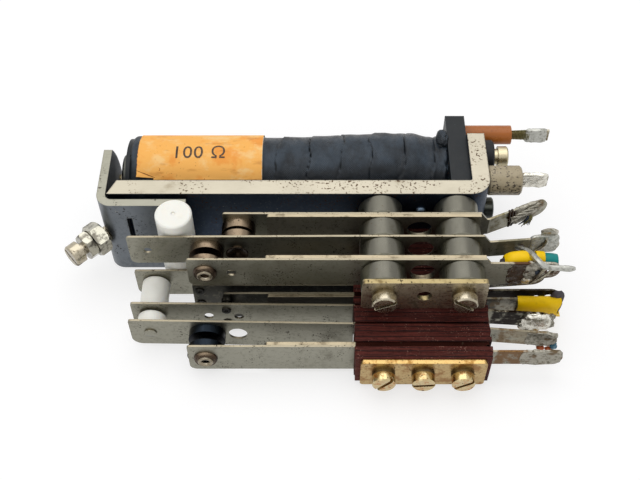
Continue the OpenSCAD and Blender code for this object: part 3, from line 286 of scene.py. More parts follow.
@dataclass(frozen=True)
class StripMetal(Finish):
    """Metal strip, bar or turned metal with its age on it.

    The eye reads a dull sheen broken by cloudy tarnish and gathered brown specks on the faces, and paler
    sheared or worn edges that carry specks of their own.
    """

    face: str = "#77746a"
    cut: str = "#bfb7a4"
    stain: str = "#5f5b50"
    cut_stain: str = "#9a8f7a"
    pit: str = "#33291d"
    dust: str = "#a9a596"
    stain_mm: float = 5.0
    stain_share: float = 0.4
    pit_mm: float = 0.5
    pit_share: float = 0.4
    pit_bed: float = 6.0
    dust_share: float = 0.15
    rough: float = 0.42
    grain: Point = (0.04, 1, 1)
    grain_mm: float = 0.12
    grain_depth: float = 0.004
    pit_depth: float = 2.0
    edge: float = 0.12
    mottle_mm: float = 0.9
    dust_mm: float = 0.28
    dust_bed: float = 4.0
    # Colour that the pile's resin leaves on a strip between the pile's two ends, and its border's width
    resin: str = ""
    pile: tuple[float, float] = (-31.2, -1.4)
    pile_border: float = 0.3

    def colour(self, canvas: Canvas, worn: Socket, pits: Socket, clouds: Socket) -> Socket:
        """Mixes the metal's colours.

        Args:
            canvas: the material's tree.
            worn: 1 at sharp edges.
            pits: 1 in a dark speck.
            clouds: the tarnish's clouds.

        Returns:
            The colour.
        """
        low = 0.66 - 0.25 * self.stain_share
        stained = canvas.put(Kind.RAMP, clouds, low, low + 0.14, 0.75)
        face = canvas.put(Kind.MIX, linear(self.face), linear(self.stain), stained)
        mottle = canvas.put(Kind.RAMP, canvas.clouds(self.mottle_mm, 4, 0.65, shift=0.5), 0.5, 0.68, 0.5)
        face = canvas.put(Kind.MIX, face, linear(self.stain), mottle)
        dust = canvas.specks(self.dust_mm, self.dust_share, self.dust_bed, 0.11)
        face = canvas.put(Kind.MIX, face, linear(self.dust), dust)
        cut = canvas.put(Kind.MIX, linear(self.cut), linear(self.cut_stain), stained)
        colour = canvas.put(Kind.MIX, face, cut, canvas.facing_up())
        colour = canvas.put(Kind.MIX, colour, linear(self.cut), canvas.put(Kind.TIMES, worn, 0.5))
        if self.resin:
            inside, behind = (canvas.past(end, self.pile_border, self.pile_border) for end in self.pile)
            outside = canvas.put(Kind.PLUS, canvas.put(Kind.LESS, 1.0, inside), behind)
            clear = canvas.put(Kind.LARGER, outside, canvas.put(Kind.RAMP, clouds, 0.62, 0.7, 0.4))
            colour = canvas.put(Kind.MIX, linear(self.resin), colour, clear)
        return canvas.put(Kind.MIX, colour, linear(self.pit), canvas.put(Kind.TIMES, pits, 0.9))

    def dress(self, canvas: Canvas) -> dict[str, object]:
        """Tarnish, specks, grain and worn edges.

        Args:
            canvas: the material's tree.

        Returns:
            A value or pattern for each of the shader's inputs that the finish sets.
        """
        soft, worn = canvas.rounded(self.edge)
        clouds = canvas.clouds(self.stain_mm, 5, 0.62)
        pits = canvas.specks(self.pit_mm, self.pit_share, self.pit_bed, 0.3)
        grain = canvas.clouds(self.grain_mm, 4, 0.6, self.grain)
        streaks = canvas.put(Kind.RAMP, grain, 0.3, 0.75, 0.16)
        rough = canvas.put(Kind.PLUS, streaks, canvas.put(Kind.RAMP, clouds, 0.3, 0.8, 0.14))
        rough = canvas.put(Kind.PLUS, rough, canvas.put(Kind.TIMES, pits, 0.3))
        hollows = canvas.put(Kind.LESS, grain, canvas.put(Kind.TIMES, pits, self.pit_depth))
        return {
            "Base Color": self.colour(canvas, worn, pits, clouds),
            "Metallic": 1.0,
            "Roughness": canvas.put(Kind.PLUS, rough, self.rough - 0.12),
            "Normal": canvas.put(Kind.RELIEF, hollows, self.grain_depth * MM, soft),
        }


@dataclass(frozen=True)
class SolderedStrip(StripMetal):
    """Contact spring whose tag has been soldered: burnt flux past the heel, then patchy tin.

    The eye reads the plain strip in the pile, brown glassy stains on the tag and a dull white bloom of tin.
    """

    flux: str = "#3a2a18"
    flux_at: float = 1.0
    flux_share: float = 0.8
    tin: str = "#b4b0a4"
    tin_at: float = 6.0
    tin_share: float = 0.85
    patch_mm: float = 2.6
    bloom_mm: float = 1.5

    def colour(self, canvas: Canvas, worn: Socket, pits: Socket, clouds: Socket) -> Socket:
        """The strip's colours with flux and tin laid over them past the heel.

        Args:
            canvas: the material's tree.
            worn: 1 at sharp edges.
            pits: 1 in a dark speck.
            clouds: the tarnish's clouds.

        Returns:
            The colour.
        """
        colour = super().colour(canvas, worn, pits, clouds)
        patches = canvas.clouds(self.patch_mm, 5, 0.65, (0.7, 1, 1), 0.21)
        burnt = canvas.put(Kind.RAMP, patches, 0.36, 0.5, self.flux_share)
        burnt = canvas.put(Kind.TIMES, canvas.past(self.flux_at, 0.8, 2.4), burnt)
        colour = canvas.put(Kind.MIX, colour, linear(self.flux), burnt)
        bloom = canvas.clouds(self.bloom_mm, 5, 0.7, shift=0.33)
        bloom = canvas.put(Kind.RAMP, bloom, 0.4, 0.56, self.tin_share)
        bloom = canvas.put(Kind.TIMES, canvas.past(self.tin_at, 0.8, 3.0), bloom)
        return canvas.put(Kind.MIX, colour, linear(self.tin), bloom)


@dataclass(frozen=True)
class FrozenSolder(Finish):
    """Soft solder that froze as it ran: bright, wrinkled, with amber flux in its hollows."""

    body: str = "#bdb9ae"
    hollow: str = "#6d6552"
    flux: str = "#8a6a26"
    flux_share: float = 0.35
    frost_share: float = 0.85
    rough: float = 0.28
    frost_mm: float = 0.7
    run_mm: float = 1.8
    depth: float = 0.12

    def dress(self, canvas: Canvas) -> dict[str, object]:
        """Frost, hollows and flux.

        Args:
            canvas: the material's tree.

        Returns:
            A value or pattern for each of the shader's inputs that the finish sets.
        """
        frost = canvas.clouds(self.frost_mm, 5, 0.68)
        runs = canvas.clouds(self.run_mm, 4, 0.6, (0.5, 1, 1), 0.13)
        hollows = canvas.put(Kind.RAMP, frost, 0.48, 0.68, self.frost_share)
        colour = canvas.put(Kind.MIX, linear(self.body), linear(self.hollow), hollows)
        low = 0.7 - 0.3 * self.flux_share
        fluxed = canvas.put(Kind.RAMP, runs, low, low + 0.1, 0.9)
        colour = canvas.put(Kind.MIX, colour, linear(self.flux), fluxed)
        return {
            "Base Color": colour,
            "Metallic": canvas.put(Kind.LESS, 1.0, canvas.put(Kind.RAMP, runs, low, low + 0.1, 0.6)),
            "Roughness": canvas.put(Kind.PLUS, canvas.put(Kind.RAMP, frost, 0.3, 0.7, 0.25), self.rough),
            "Normal": canvas.put(Kind.RELIEF, canvas.put(Kind.PLUS, frost, runs), self.depth * MM),
        }


@dataclass(frozen=True)
class Moulded(Finish):
    """Moulded or turned plastic: an even body with fine dirt in it."""

    body: str = "#f2efe2"
    dirt: str = "#8c8774"
    dirt_mm: float = 2.0
    dirt_share: float = 0.25
    speck_mm: float = 0.4
    speck_share: float = 0.3
    speck_bed: float = 3.0
    rough: float = 0.4
    edge: float = 0.2
    rub: str = ""
    depth: float = 0.006
    shine: float = 0.5
    glow: float = 0.0
    glow_depth: float = 1.2

    def dress(self, canvas: Canvas) -> dict[str, object]:
        """Body colour, dirt, specks and rubbed edges.

        Args:
            canvas: the material's tree.

        Returns:
            A value or pattern for each of the shader's inputs that the finish sets.
        """
        soft, worn = canvas.rounded(self.edge)
        clouds = canvas.clouds(self.dirt_mm, 5, 0.65)
        dirt, cloudy = linear(self.dirt), canvas.put(Kind.RAMP, clouds, 0.5, 0.85, self.dirt_share)
        colour = canvas.put(Kind.MIX, linear(self.body), dirt, cloudy)
        specks = canvas.specks(self.speck_mm, self.speck_share, self.speck_bed, 0.2)
        colour = canvas.put(Kind.MIX, colour, dirt, specks)
        if self.rub:
            colour = canvas.put(Kind.MIX, colour, linear(self.rub), canvas.put(Kind.TIMES, worn, 0.5))
        fine = canvas.clouds(self.speck_mm * 1.5, 3, 0.6)
        dress: dict[str, object] = {
            "Base Color": colour,
            "Roughness": canvas.put(Kind.PLUS, canvas.put(Kind.RAMP, clouds, 0.3, 0.8, 0.15), self.rough),
            "Normal": canvas.put(Kind.RELIEF, fine, self.depth * MM, soft),
            "IOR": 1.5,
            "Specular IOR Level": self.shine,
        }
        if self.glow:
            dress |= {"Subsurface Weight": self.glow, "Subsurface Scale": self.glow_depth * MM}
            dress["Subsurface Radius"] = (1.0, 0.9, 0.75)
        return dress


@dataclass(frozen=True)
class Laminate(Finish):
    """Paper laminate bonded with resin: dark red-brown layers, frayed and paler along its sawn edges."""

    body: str = "#4a1b14"
    layer: str = "#6b3028"
    dark: str = "#120405"
    fibre: str = "#8a6458"
    layer_mm: float = 0.5
    sheet_mm: float = 1.25
    fibre_mm: float = 0.45
    warp_mm: float = 5.0
    edge: float = 0.12
    depth: float = 0.07
    rough: float = 0.6

    def dress(self, canvas: Canvas) -> dict[str, object]:
        """Layers along the pile's depth, fibres along its length and dull sawn edges.

        Args:
            canvas: the material's tree.

        Returns:
            A value or pattern for each of the shader's inputs that the finish sets.
        """
        soft, worn = canvas.rounded(self.edge)
        layers = canvas.clouds(self.layer_mm, 2, 0.5, (0.04, 1, 0.04))
        fibres = canvas.clouds(self.fibre_mm, 5, 0.7, (0.35, 1, 0.6), 0.1)
        plies = canvas.put(Kind.RAMP, layers, 0.5, 0.66, 0.5)
        colour = canvas.put(Kind.MIX, linear(self.body), linear(self.layer), plies)
        frayed = canvas.put(Kind.RAMP, fibres, 0.48, 0.68, 0.6)
        colour = canvas.put(Kind.MIX, colour, linear(self.dark), frayed)
        seams = canvas.put(Kind.RAMP, layers, 0.44, 0.36, 0.6)
        colour = canvas.put(Kind.MIX, colour, linear(self.dark), seams)
        across = canvas.put(Kind.ACROSS, canvas.coords)
        turn = canvas.put(Kind.TIMES, across, math.tau * per_mm(self.sheet_mm))
        warp = canvas.clouds(self.warp_mm, 4, 0.6, (0.6, 1, 1), 0.3)
        turn = canvas.put(Kind.PLUS, turn, canvas.put(Kind.TIMES, warp, 5.0))
        joint = canvas.put(Kind.RAMP, canvas.put(Kind.SINE, turn), 0.78, 0.98)
        colour = canvas.put(Kind.MIX, colour, linear(self.dark), canvas.put(Kind.TIMES, joint, 0.9))
        colour = canvas.put(Kind.MIX, colour, linear(self.layer), canvas.put(Kind.TIMES, worn, 0.35))
        colour = canvas.put(Kind.MIX, colour, linear(self.fibre), canvas.specks(0.3, 0.6, 2.0, 0.6))
        height = canvas.put(Kind.LESS, canvas.put(Kind.PLUS, layers, fibres), joint)
        return {
            "Base Color": colour,
            "Roughness": canvas.put(Kind.PLUS, canvas.put(Kind.RAMP, fibres, 0.3, 0.7, 0.2), self.rough),
            "Normal": canvas.put(Kind.RELIEF, height, self.depth * MM, soft),
            "IOR": 1.5,
            "Specular IOR Level": 0.2,
        }


@dataclass(frozen=True)
class ClothTape(Finish):
    """Rubbered cloth tape: near black, its threads pressed almost flat, with a grey sheen painted on among
    dust where its faces look up.
    """

    body: str = "#0a1016"
    # Pale grey of the dust bloom, which is also the painted sheen on the tape's upper faces
    bloom: str = "#303b46"
    thread: str = "#66727e"
    thread_mm: float = 0.42
    axis: Point = (0.0, -21.525, -12.0)
    coil_r: float = 10.3
    crease_mm: float = 2.6
    bloom_mm: float = 5.0
    bare_mm: float = 3.5
    depth: float = 0.14
    rough: float = 0.26

    def dress(self, canvas: Canvas) -> dict[str, object]:
        """Threads, creases, and a pale grey bloom: dust in clouds, and painted sheen on the faces that look
        up.

        Args:
            canvas: the material's tree.

        Returns:
            A value or pattern for each of the shader's inputs that the finish sets.
        """
        centred = canvas.put(Kind.PLACE, canvas.coords, [c * MM for c in self.axis])
        turn = math.tau * per_mm(self.thread_mm)
        angle = canvas.put(Kind.ANGLE, canvas.put(Kind.UP, centred), canvas.put(Kind.ACROSS, centred))
        cross = canvas.put(Kind.SINE, canvas.put(Kind.TIMES, angle, turn * self.coil_r * MM))
        ribs = canvas.put(Kind.SINE, canvas.put(Kind.TIMES, canvas.put(Kind.ALONG, centred), turn))
        weave = canvas.put(Kind.TIMES, ribs, cross)
        creases = canvas.clouds(self.crease_mm, 5, 0.6, (1, 0.5, 0.5))
        bloom = canvas.clouds(self.bloom_mm, 5, 0.65, (1, 0.6, 0.6), 0.2)
        # Faces that look up turn paler: a painted sheen where light catches the tape's top, broken into
        # clouds like dust
        top = canvas.put(Kind.RAMP, canvas.put(Kind.UP, canvas.normal), 0.82, 0.95, 0.9)
        dust_and_sheen = canvas.put(Kind.TIMES, canvas.put(Kind.RAMP, bloom, 0.3, 0.6), top)
        colour = canvas.put(Kind.MIX, linear(self.body), linear(self.bloom), dust_and_sheen)
        bare = canvas.put(Kind.RAMP, canvas.clouds(self.bare_mm, 3, 0.6, shift=0.4), 0.42, 0.6, 0.5)
        bare = canvas.put(Kind.TIMES, canvas.put(Kind.RAMP, weave, 0.45, 0.95), bare)
        colour = canvas.put(Kind.MIX, colour, linear(self.thread), bare)
        folded = canvas.put(Kind.TIMES, creases, 2.6)
        height = canvas.put(Kind.PLUS, canvas.put(Kind.TIMES, weave, 0.12), folded)
        return {
            "Base Color": colour,
            "Roughness": canvas.put(Kind.PLUS, canvas.put(Kind.RAMP, creases, 0.3, 0.7, 0.22), self.rough),
            "Normal": canvas.put(Kind.RELIEF, height, self.depth * MM),
            "Specular IOR Level": 0.24,
        }


@dataclass(frozen=True)
class LabelPaper(Finish):
    """Gummed paper, dyed orange: matte, handled, with rusty spots and browned edges."""

    body: str = "#ffbb5e"
    stain: str = "#bd6a22"
    pale: str = "#ffd38f"
    deep: str = "#f79e3f"
    pale_mm: float = 4.5
    deep_mm: float = 6.0
    streak_mm: float = 1.6
    fibre_mm: float = 0.3
    depth: float = 0.015

    def dress(self, canvas: Canvas) -> dict[str, object]:
        """Mottle, spots and paper fibre.

        Args:
            canvas: the material's tree.

        Returns:
            A value or pattern for each of the shader's inputs that the finish sets.
        """
        pale = canvas.put(Kind.RAMP, canvas.clouds(self.pale_mm, 5, 0.65, (0.8, 1, 1)), 0.5, 0.66, 0.75)
        colour = canvas.put(Kind.MIX, linear(self.body), linear(self.pale), pale)
        deep = canvas.put(Kind.RAMP, canvas.clouds(self.deep_mm, 5, 0.62, shift=0.17), 0.52, 0.66, 0.8)
        colour = canvas.put(Kind.MIX, colour, linear(self.deep), deep)
        streaks = canvas.clouds(self.streak_mm, 4, 0.6, (0.25, 1, 1), 0.29)
        streaks = canvas.put(Kind.RAMP, streaks, 0.56, 0.7, 0.4)
        colour = canvas.put(Kind.MIX, colour, linear(self.stain), streaks)
        colour = canvas.put(Kind.MIX, colour, linear(self.stain), canvas.specks(0.5, 0.35, 4.0, 0.4))
        return {
            "Base Color": colour,
            "Roughness": 0.72,
            "Normal": canvas.put(Kind.RELIEF, canvas.clouds(self.fibre_mm, 4, 0.7), self.depth * MM),
            "IOR": 1.45,
        }


# Greenish grey strip with a dull sheen and fine brown specks, bare or soldered
NICKEL_SILVER = StripMetal("nickel silver strip, rolled", "#8f8d80", "#978e7a", "#6b685b", "#7d7460",
    stain_mm=7.0, stain_share=0.3, pit_mm=0.42, pit_share=0.65, pit_bed=5.0, rough=0.38)
SOLDERED = SolderedStrip(**asdict(NICKEL_SILVER) | {"name": "nickel silver strip, soldered"})
RESIN = "#25100c"
PILED = replace(SOLDERED, resin=RESIN)

# One finish for each material slot of the record. A metal's colours are those of its face, its cut edges, the
# stain on each, its pits and its dust; a plastic's are its body and its dirt
SLOTS: dict[str, Finish] = {
    # Zinc dulled to blue-grey on the faces, which are darkened further as painted shade; rust freckles on the
    # paler cut edges
    "plated_steel": StripMetal("zinc plated steel strip, dulled, shade painted on", "#2e3a4b", "#aea796", "#47505a",
        "#958b77", "#4f3520", "#98968c", stain_mm=9.0, stain_share=0.35, pit_mm=0.55, pit_share=0.75,
        pit_bed=9.0, dust_share=0.2, edge=0.35),
    # Dark grey and even
    "soft_iron": StripMetal("soft iron, turned", "#2d2e31", "#54544f", rough=0.45),
    # Deep black with a soft shine and greyer corners
    "cheek_black": Moulded("phenolic resin, moulded black", "#0a1014", "#242c31", dirt_share=0.5,
        depth=0.02, rub="#4d565c", shine=0.3),
    # Warm brown under its enamel
    "copper_wire": StripMetal("enamelled copper wire", "#7a4526", "#9a5c33", "#57301c"),
    # Near black and ribbed, grey on top with dust and a painted sheen
    "cloth_tape": ClothTape("cloth tape, rubbered black"),
    # Orange, blotched paler and deeper
    "paper_label": LabelPaper("gummed paper, orange"),
    # Flat black with dust on it
    "washer_black": Moulded("fibre washer, black", "#121317", "#3a3733", dirt_share=0.4, rough=0.5,
        shine=0.3),
    # Nickel yellowed to cream
    "post_cream": StripMetal("nickel plated post, yellowed", "#b3a98d", "#c4b899", "#7a7053", rough=0.34),
    # Bright planes with dark smears between them
    "nut_steel": StripMetal("nickel plated steel, turned", "#9d998b", "#b5b2a4", "#2f2a24", "#4c453c",
        "#2d2219", stain_mm=2.2, stain_share=0.7, pit_mm=0.4, rough=0.17, grain=(1, 1, 1)),
    # Dull brass stem that turns silver at its tinned end
    "tinned_brass": SolderedStrip("tinned brass strip", "#7d7255", "#a59a7c", "#5c5138", stain_mm=1.8,
        stain_share=0.6, rough=0.36, flux="#5a4a2a", flux_at=5.0, flux_share=0.7, tin="#b9b4a6",
        tin_at=10.5, tin_share=0.95),
    # Glossy orange-brown, darker in streaks
    "sleeve_amber": Moulded("varnished sleeving, amber", "#ab6225", "#7a4420", dirt_mm=1.6, dirt_share=0.7,
        rough=0.26, rub="#c9855a", depth=0.02, shine=0.35),
    # Cream-grey, peppered with dark grains
    "bush_grey": Moulded("ceramic bush, speckled", "#a89a7d", "#3a3022", dirt_mm=1.0, dirt_share=0.95,
        speck_mm=0.5, speck_share=0.99, rough=0.34, rub="#dccfa9", depth=0.03),
    # Almost black
    "screw_dark": StripMetal("blackened steel, turned", "#3b3e3c", "#5b5d57", "#1b1a18", rough=0.4),
    # Pale warm steel with freckles and turning lines round the head
    "screw_steel": StripMetal("nickel plated screw, turned", "#aba28f", "#b3aa96", "#6d6350", "#6d6350",
        "#33281b", stain_mm=1.6, stain_share=0.5, pit_mm=0.35, pit_share=0.7, pit_bed=2.0, rough=0.25,
        grain=(1, 0.1, 1)),
    # Even grey with one soft highlight down each spacer
    "spacer_grey": StripMetal("turned spacer, nickel plated", "#7d7b6e", "#65635a", "#66634f", "#565347",
        "#5c4a2c", "#b5a87e", stain_mm=4.0, stain_share=0.3, pit_mm=0.45, pit_share=0.3, rough=0.36,
        grain=(1, 0.08, 1), grain_depth=0.006, edge=0.25),
    # Hidden in the pile
    "laminate_tube": Laminate("laminate tube"),
    # Nickel worn through to yellow along its edges
    "plate_nickel": StripMetal("nickel plated plate", "#b0a68f", "#968762", "#5f5543", "#655536", "#241a10",
        "#c2a873", dust_share=0.5, stain_mm=3.0, stain_share=0.5, pit_share=0.7, pit_bed=3.0, rough=0.34,
        edge=0.2),
    # Yellow brass with brown blotches
    "plate_brass": StripMetal("brass plate, aged", "#b39a6c", "#bf9f66", "#85592a", "#84591f", "#2f1c0b",
        stain_mm=2.4, stain_share=0.7, pit_mm=0.55, pit_share=0.6, pit_bed=3.0, rough=0.3, edge=0.2),
    # Yellow with rusty patches
    "screw_brass": StripMetal("brass screw, turned", "#c2b088", "#c9b686", "#a85f1a", "#84531d", "#4a2c10",
        stain_mm=1.3, stain_share=0.6, pit_mm=0.4, pit_share=0.6, pit_bed=1.5, rough=0.22,
        grain=(1, 0.1, 1)),
    # Brown-grey
    "washer_steel": StripMetal("lock washer, tarnished", "#554834", "#77694c", "#35291a", rough=0.4),
    # Greenish grey strip with a dull sheen and fine brown specks
    "nickel_silver": NICKEL_SILVER,
    # As the strips, but browner
    "stiffener_steel": StripMetal("nickel silver stiffener, sheared", "#8a8578", "#a3977f", "#625d52",
        "#6a5f4d", stain_mm=3.5, stain_share=0.55, pit_mm=0.4, pit_share=0.5),
    # Burnt brown with turned rings
    "contact_copper": StripMetal("contact button, burnt copper", "#4d3f34", "#80705d", "#241a13", "#5b4b3d",
        "#17100b", stain_mm=2.4, stain_share=0.6, rough=0.32, grain=(1, 0.1, 1), grain_depth=0.01),
    # Sulphided almost black
    "contact_silver": StripMetal("silver contact, sulphided", "#2c2b29", "#45433e", "#191817", stain_mm=1.0,
        rough=0.34),
    # Blue-black with dust on it
    "contact_black": StripMetal("contact button, blackened", "#0d1118", "#1f252c", "#06080b", "#10151b",
        "#060606", "#4b5055", dust_share=0.2, stain_mm=2.4, rough=0.32, grain=(1, 0.1, 1)),
    # Dark red-brown sheets with black joints between them
    "laminate": Laminate("paper laminate, sawn"),
    # Clear yellow, soiled in its folds
    "sleeve_yellow": Moulded("PVC sleeving, yellow", "#fdcf00", "#b58a00", dirt_mm=1.8, dirt_share=0.4,
        rough=0.36, shine=0.25),
    # Silver with grey hollows
    "tinned_wire": StripMetal("tinned copper wire", "#a09a88", "#b2ac9b", "#5f5846", stain_mm=1.0,
        stain_share=0.5, rough=0.26),
    # Bright wrinkled frost with amber pools
    "solder": FrozenSolder("soft solder, frozen bright"),
    # Mid grey, freckled with rust
    "armature_iron": StripMetal("soft iron strip, dulled zinc", "#6c7176", "#929083", "#565a5e", "#777466",
        "#33281e", stain_mm=7.0, stain_share=0.35, pit_mm=0.6, pit_share=0.65, edge=0.3),
    # White, and light sinks into it a little
    "nylon": Moulded("nylon, moulded white", "#fbf9ef", "#d6d3c2", dirt_mm=4.0, dirt_share=0.3,
        speck_share=0.06, rough=0.34, edge=0.3, glow=0.35),
}

# Finishes of nodes and pieces that differ from the rest of their slot
OWN: dict[str, Finish] = {
    # Soldered tags, each with its own burnt flux and tin
    "spring_a1": replace(SOLDERED, name="nickel silver, olive flux, early tin", flux="#5a5230",
        flux_at=-0.5, tin="#a5a397", tin_at=1.5, tin_share=0.7),
    "tag_a2": replace(SOLDERED, name="nickel silver, thin olive flux", flux="#5b5a48", flux_at=0.0,
        flux_share=0.6, tin_at=7.5),
    "spring_a3": replace(SOLDERED, name="nickel silver, brown flux", flux="#49301f", flux_at=2.6,
        flux_share=0.95, tin_at=7.0),
    "tag_b1": replace(PILED, name="nickel silver, black flux", flux="#1d150d", flux_at=-2.0, flux_share=1.0,
        tin="#4a3a20", tin_at=5.0),
    # B2 and B3 lie deep between the other springs: their darker face and cut colours are painted shade
    "spring_b2": replace(PILED, name="nickel silver, painted shade, black flux", face="#3c3b36", cut="#6e6858",
        flux="#231a12", flux_at=-1.0, flux_share=1.0, tin="#3a342b", tin_at=8.0),
    "spring_b3": replace(PILED, name="nickel silver, painted shade, tan flux", face="#3f3e39", cut="#7a7362",
        flux="#5a4a33", flux_at=-0.5, flux_share=0.8, tin="#8f8c80", tin_at=1.0),
    "tag_b4": replace(PILED, name="nickel silver, black flux, brassy tin", flux="#1a120c", flux_at=-0.5,
        flux_share=1.0, tin_at=8.0, tin="#8a7a4c"),
    "tag_b5": replace(PILED, name="nickel silver, tan flux, grey tin", flux="#6b5538", flux_at=0.5,
        flux_share=0.85, tin="#97917f", tin_at=2.0, tin_share=0.75),
    "spring_b6": replace(PILED, name="nickel silver, tan flux, pale tin", flux="#684b2b", flux_at=-0.5,
        flux_share=0.95, tin="#aaa69a", tin_at=5.0),
    # Stiffeners that the pile's resin has reached
    "stiffener_b3": replace(SLOTS["stiffener_steel"], name="nickel silver stiffener, dark, resin on it",
        face="#55524a", resin=RESIN),
    "stiffener_b6": replace(SLOTS["stiffener_steel"], name="nickel silver stiffener, resin on it",
        resin=RESIN),
    # Sleeves, cloth ends and flux left on the tags: clean plastic, matte cloth, black glassy drops
    "sleeve_teal": Moulded("PVC sleeving, teal", "#0a8482", "#084b4a", dirt_mm=1.6, dirt_share=0.4,
        rough=0.34, shine=0.3),
    "shrunk_end": Moulded("varnished cloth, dark grey", "#3a343a", "#1d191b", dirt_mm=1.2, dirt_share=0.8,
        rough=0.5, depth=0.03, rub="#6d6468"),
    "burnt_flux": Moulded("rosin flux, burnt", "#33200f", "#150c07", dirt_mm=1.5, dirt_share=0.9,
        rough=0.22, depth=0.03),
    # Cut wires: coloured enamel and the threads lapped round them
    "enamel_orange": Moulded("wire enamel, orange", "#b8551e", "#5e2a10", dirt_mm=0.8, dirt_share=0.7,
        rough=0.35),
    "enamel_blue": Moulded("wire enamel, blue", "#3b6f85", "#1d2b38", dirt_mm=0.8, dirt_share=0.7,
        rough=0.35),
    "thread_olive": Moulded("lapping thread, olive", "#6a6334", "#2b2d24", dirt_mm=0.5, dirt_share=0.8,
        rough=0.7),
    "thread_navy": Moulded("lapping thread, navy", "#232b38", "#11141a", dirt_mm=0.5, dirt_share=0.5,
        rough=0.7),
    # Solder by how it froze: bright, under amber flux, cool grey or dulled
    "solder_bright": FrozenSolder("soft solder, bright", "#dcd9ce", "#8a8270", "#94702a", flux_share=0.2,
        frost_share=0.55, rough=0.18),
    "solder_flux": FrozenSolder("soft solder under flux", hollow="#7a6a3f", flux="#a07a1c", flux_share=0.6),
    "solder_cool": FrozenSolder("soft solder, cool grey", "#b2b2ab", "#76746a", "#6f6442", flux_share=0.2),
    "solder_dull": FrozenSolder("soft solder, dulled", "#9c988c", "#57503f", "#5f4a2a", flux_share=0.5,
        rough=0.36),
    # On the label: worn ink, a brown line painted along the crease as its shadow, and an undyed cut edge
    "ink": Moulded("stamp ink, grey", "#4f4036", "#8a6a45", dirt_mm=0.5, dirt_share=0.7, speck_share=0.6,
        rough=0.7),
    "paper_crease": Moulded("painted crease shadow, brown", "#8a4a1c", "#5c2f10", dirt_mm=0.8, dirt_share=0.5,
        rough=0.8),
    "paper_edge": Moulded("paper edge, undyed", "#f6e3c0", "#d9b27a", dirt_mm=1.2, dirt_share=0.6,
        rough=0.8),
    # Small turned pieces with a bright rolled edge or a blued skin
    "eyelet_rim": StripMetal("eyelet, rolled bright", "#8d8371", "#b0a794", "#4c4232", stain_mm=1.0,
        rough=0.26, grain=(1, 1, 1)),
    "plug_dark": StripMetal("blued steel plug", "#2a323d", "#4b5763", "#161b22", rough=0.24,
        grain=(1, 1, 1)),
}


@dataclass(frozen=True)
class Run:
    """One round wire: the places it follows, its radius, and shares of that spread evenly along it."""

    points: Sequence[Sequence[float]]
    radius: float
    taper: Sequence[float] = (1.0,)


def put_down(name: str, data: bpy.types.ID) -> bpy.types.Object:
    """Adds an object with its data to the scene and returns it.

    Args:
        name: the object's name.
        data: its mesh, curve, camera or lamp.

    Returns:
        The object.
    """
    thing = bpy.data.objects.new(name, data)
    bpy.context.scene.collection.objects.link(thing)
    return thing


def rise(value: float, start: float, length: float) -> float:
    """0 up to start, 1 from start + length on, and straight between them."""
    return min(1.0, max(0.0, (value - start) / length))


def fill(shape: Shape, data: bpy.types.Curve) -> None:
    """Adds a curve's or text's surface to a shape, its seams merged.

    Args:
        shape: the shape that gets it.
        data: the curve or text, removed here.
    """
    thing = put_down("run", data)
    mesh = bpy.data.meshes.new_from_object(thing.evaluated_get(bpy.context.evaluated_depsgraph_get()))
    bpy.data.objects.remove(thing)
    bpy.data.curves.remove(data)
    shape.from_mesh(mesh)
    bpy.data.meshes.remove(mesh)
    bmesh.ops.remove_doubles(shape, verts=shape.verts, dist=SEAM)


def cable(shape: Shape, run: Run) -> None:
    """Adds a round wire to a shape.

    Args:
        shape: the shape that gets it.
        run: its course and thickness.
    """
    data = bpy.data.curves.new("run", "CURVE")
    data.dimensions = "3D"
    data.bevel_depth = run.radius
    data.bevel_resolution = 2
    data.use_fill_caps = True
    spline = data.splines.new("NURBS")
    count, shares = len(run.points), len(run.taper)
    spline.points.add(count - 1)
    for i, point in enumerate(run.points):
        spline.points[i].co = (*point, 1.0)
        spline.points[i].radius = run.taper[min(shares - 1, i * shares // count)]
    spline.order_u = min(4, count)
    spline.use_endpoint_u = True
    spline.resolution_u = 5
    fill(shape, data)


def revolve(shape: Shape, corners: Sequence[Point], centre: Point, axis: Point, facets: int) -> None:
    """Adds a closed outline turned fully round an axis.

    Args:
        shape: the shape that gets it.
        corners: the outline's corners, closed by itself.
        centre: a place on the axis.
        axis: the axis's direction.
        facets: facets round it.
    """
    verts = [shape.verts.new(corner) for corner in corners]
    edges = [shape.edges.new(pair) for pair in zip(verts, verts[1:] + verts[:1])]
    bmesh.ops.spin(shape, geom=verts + edges, cent=centre, axis=axis, dvec=(0, 0, 0), angle=math.tau,
        steps=facets, use_merge=True, use_duplicate=False)
    bmesh.ops.remove_doubles(shape, verts=shape.verts, dist=SEAM)


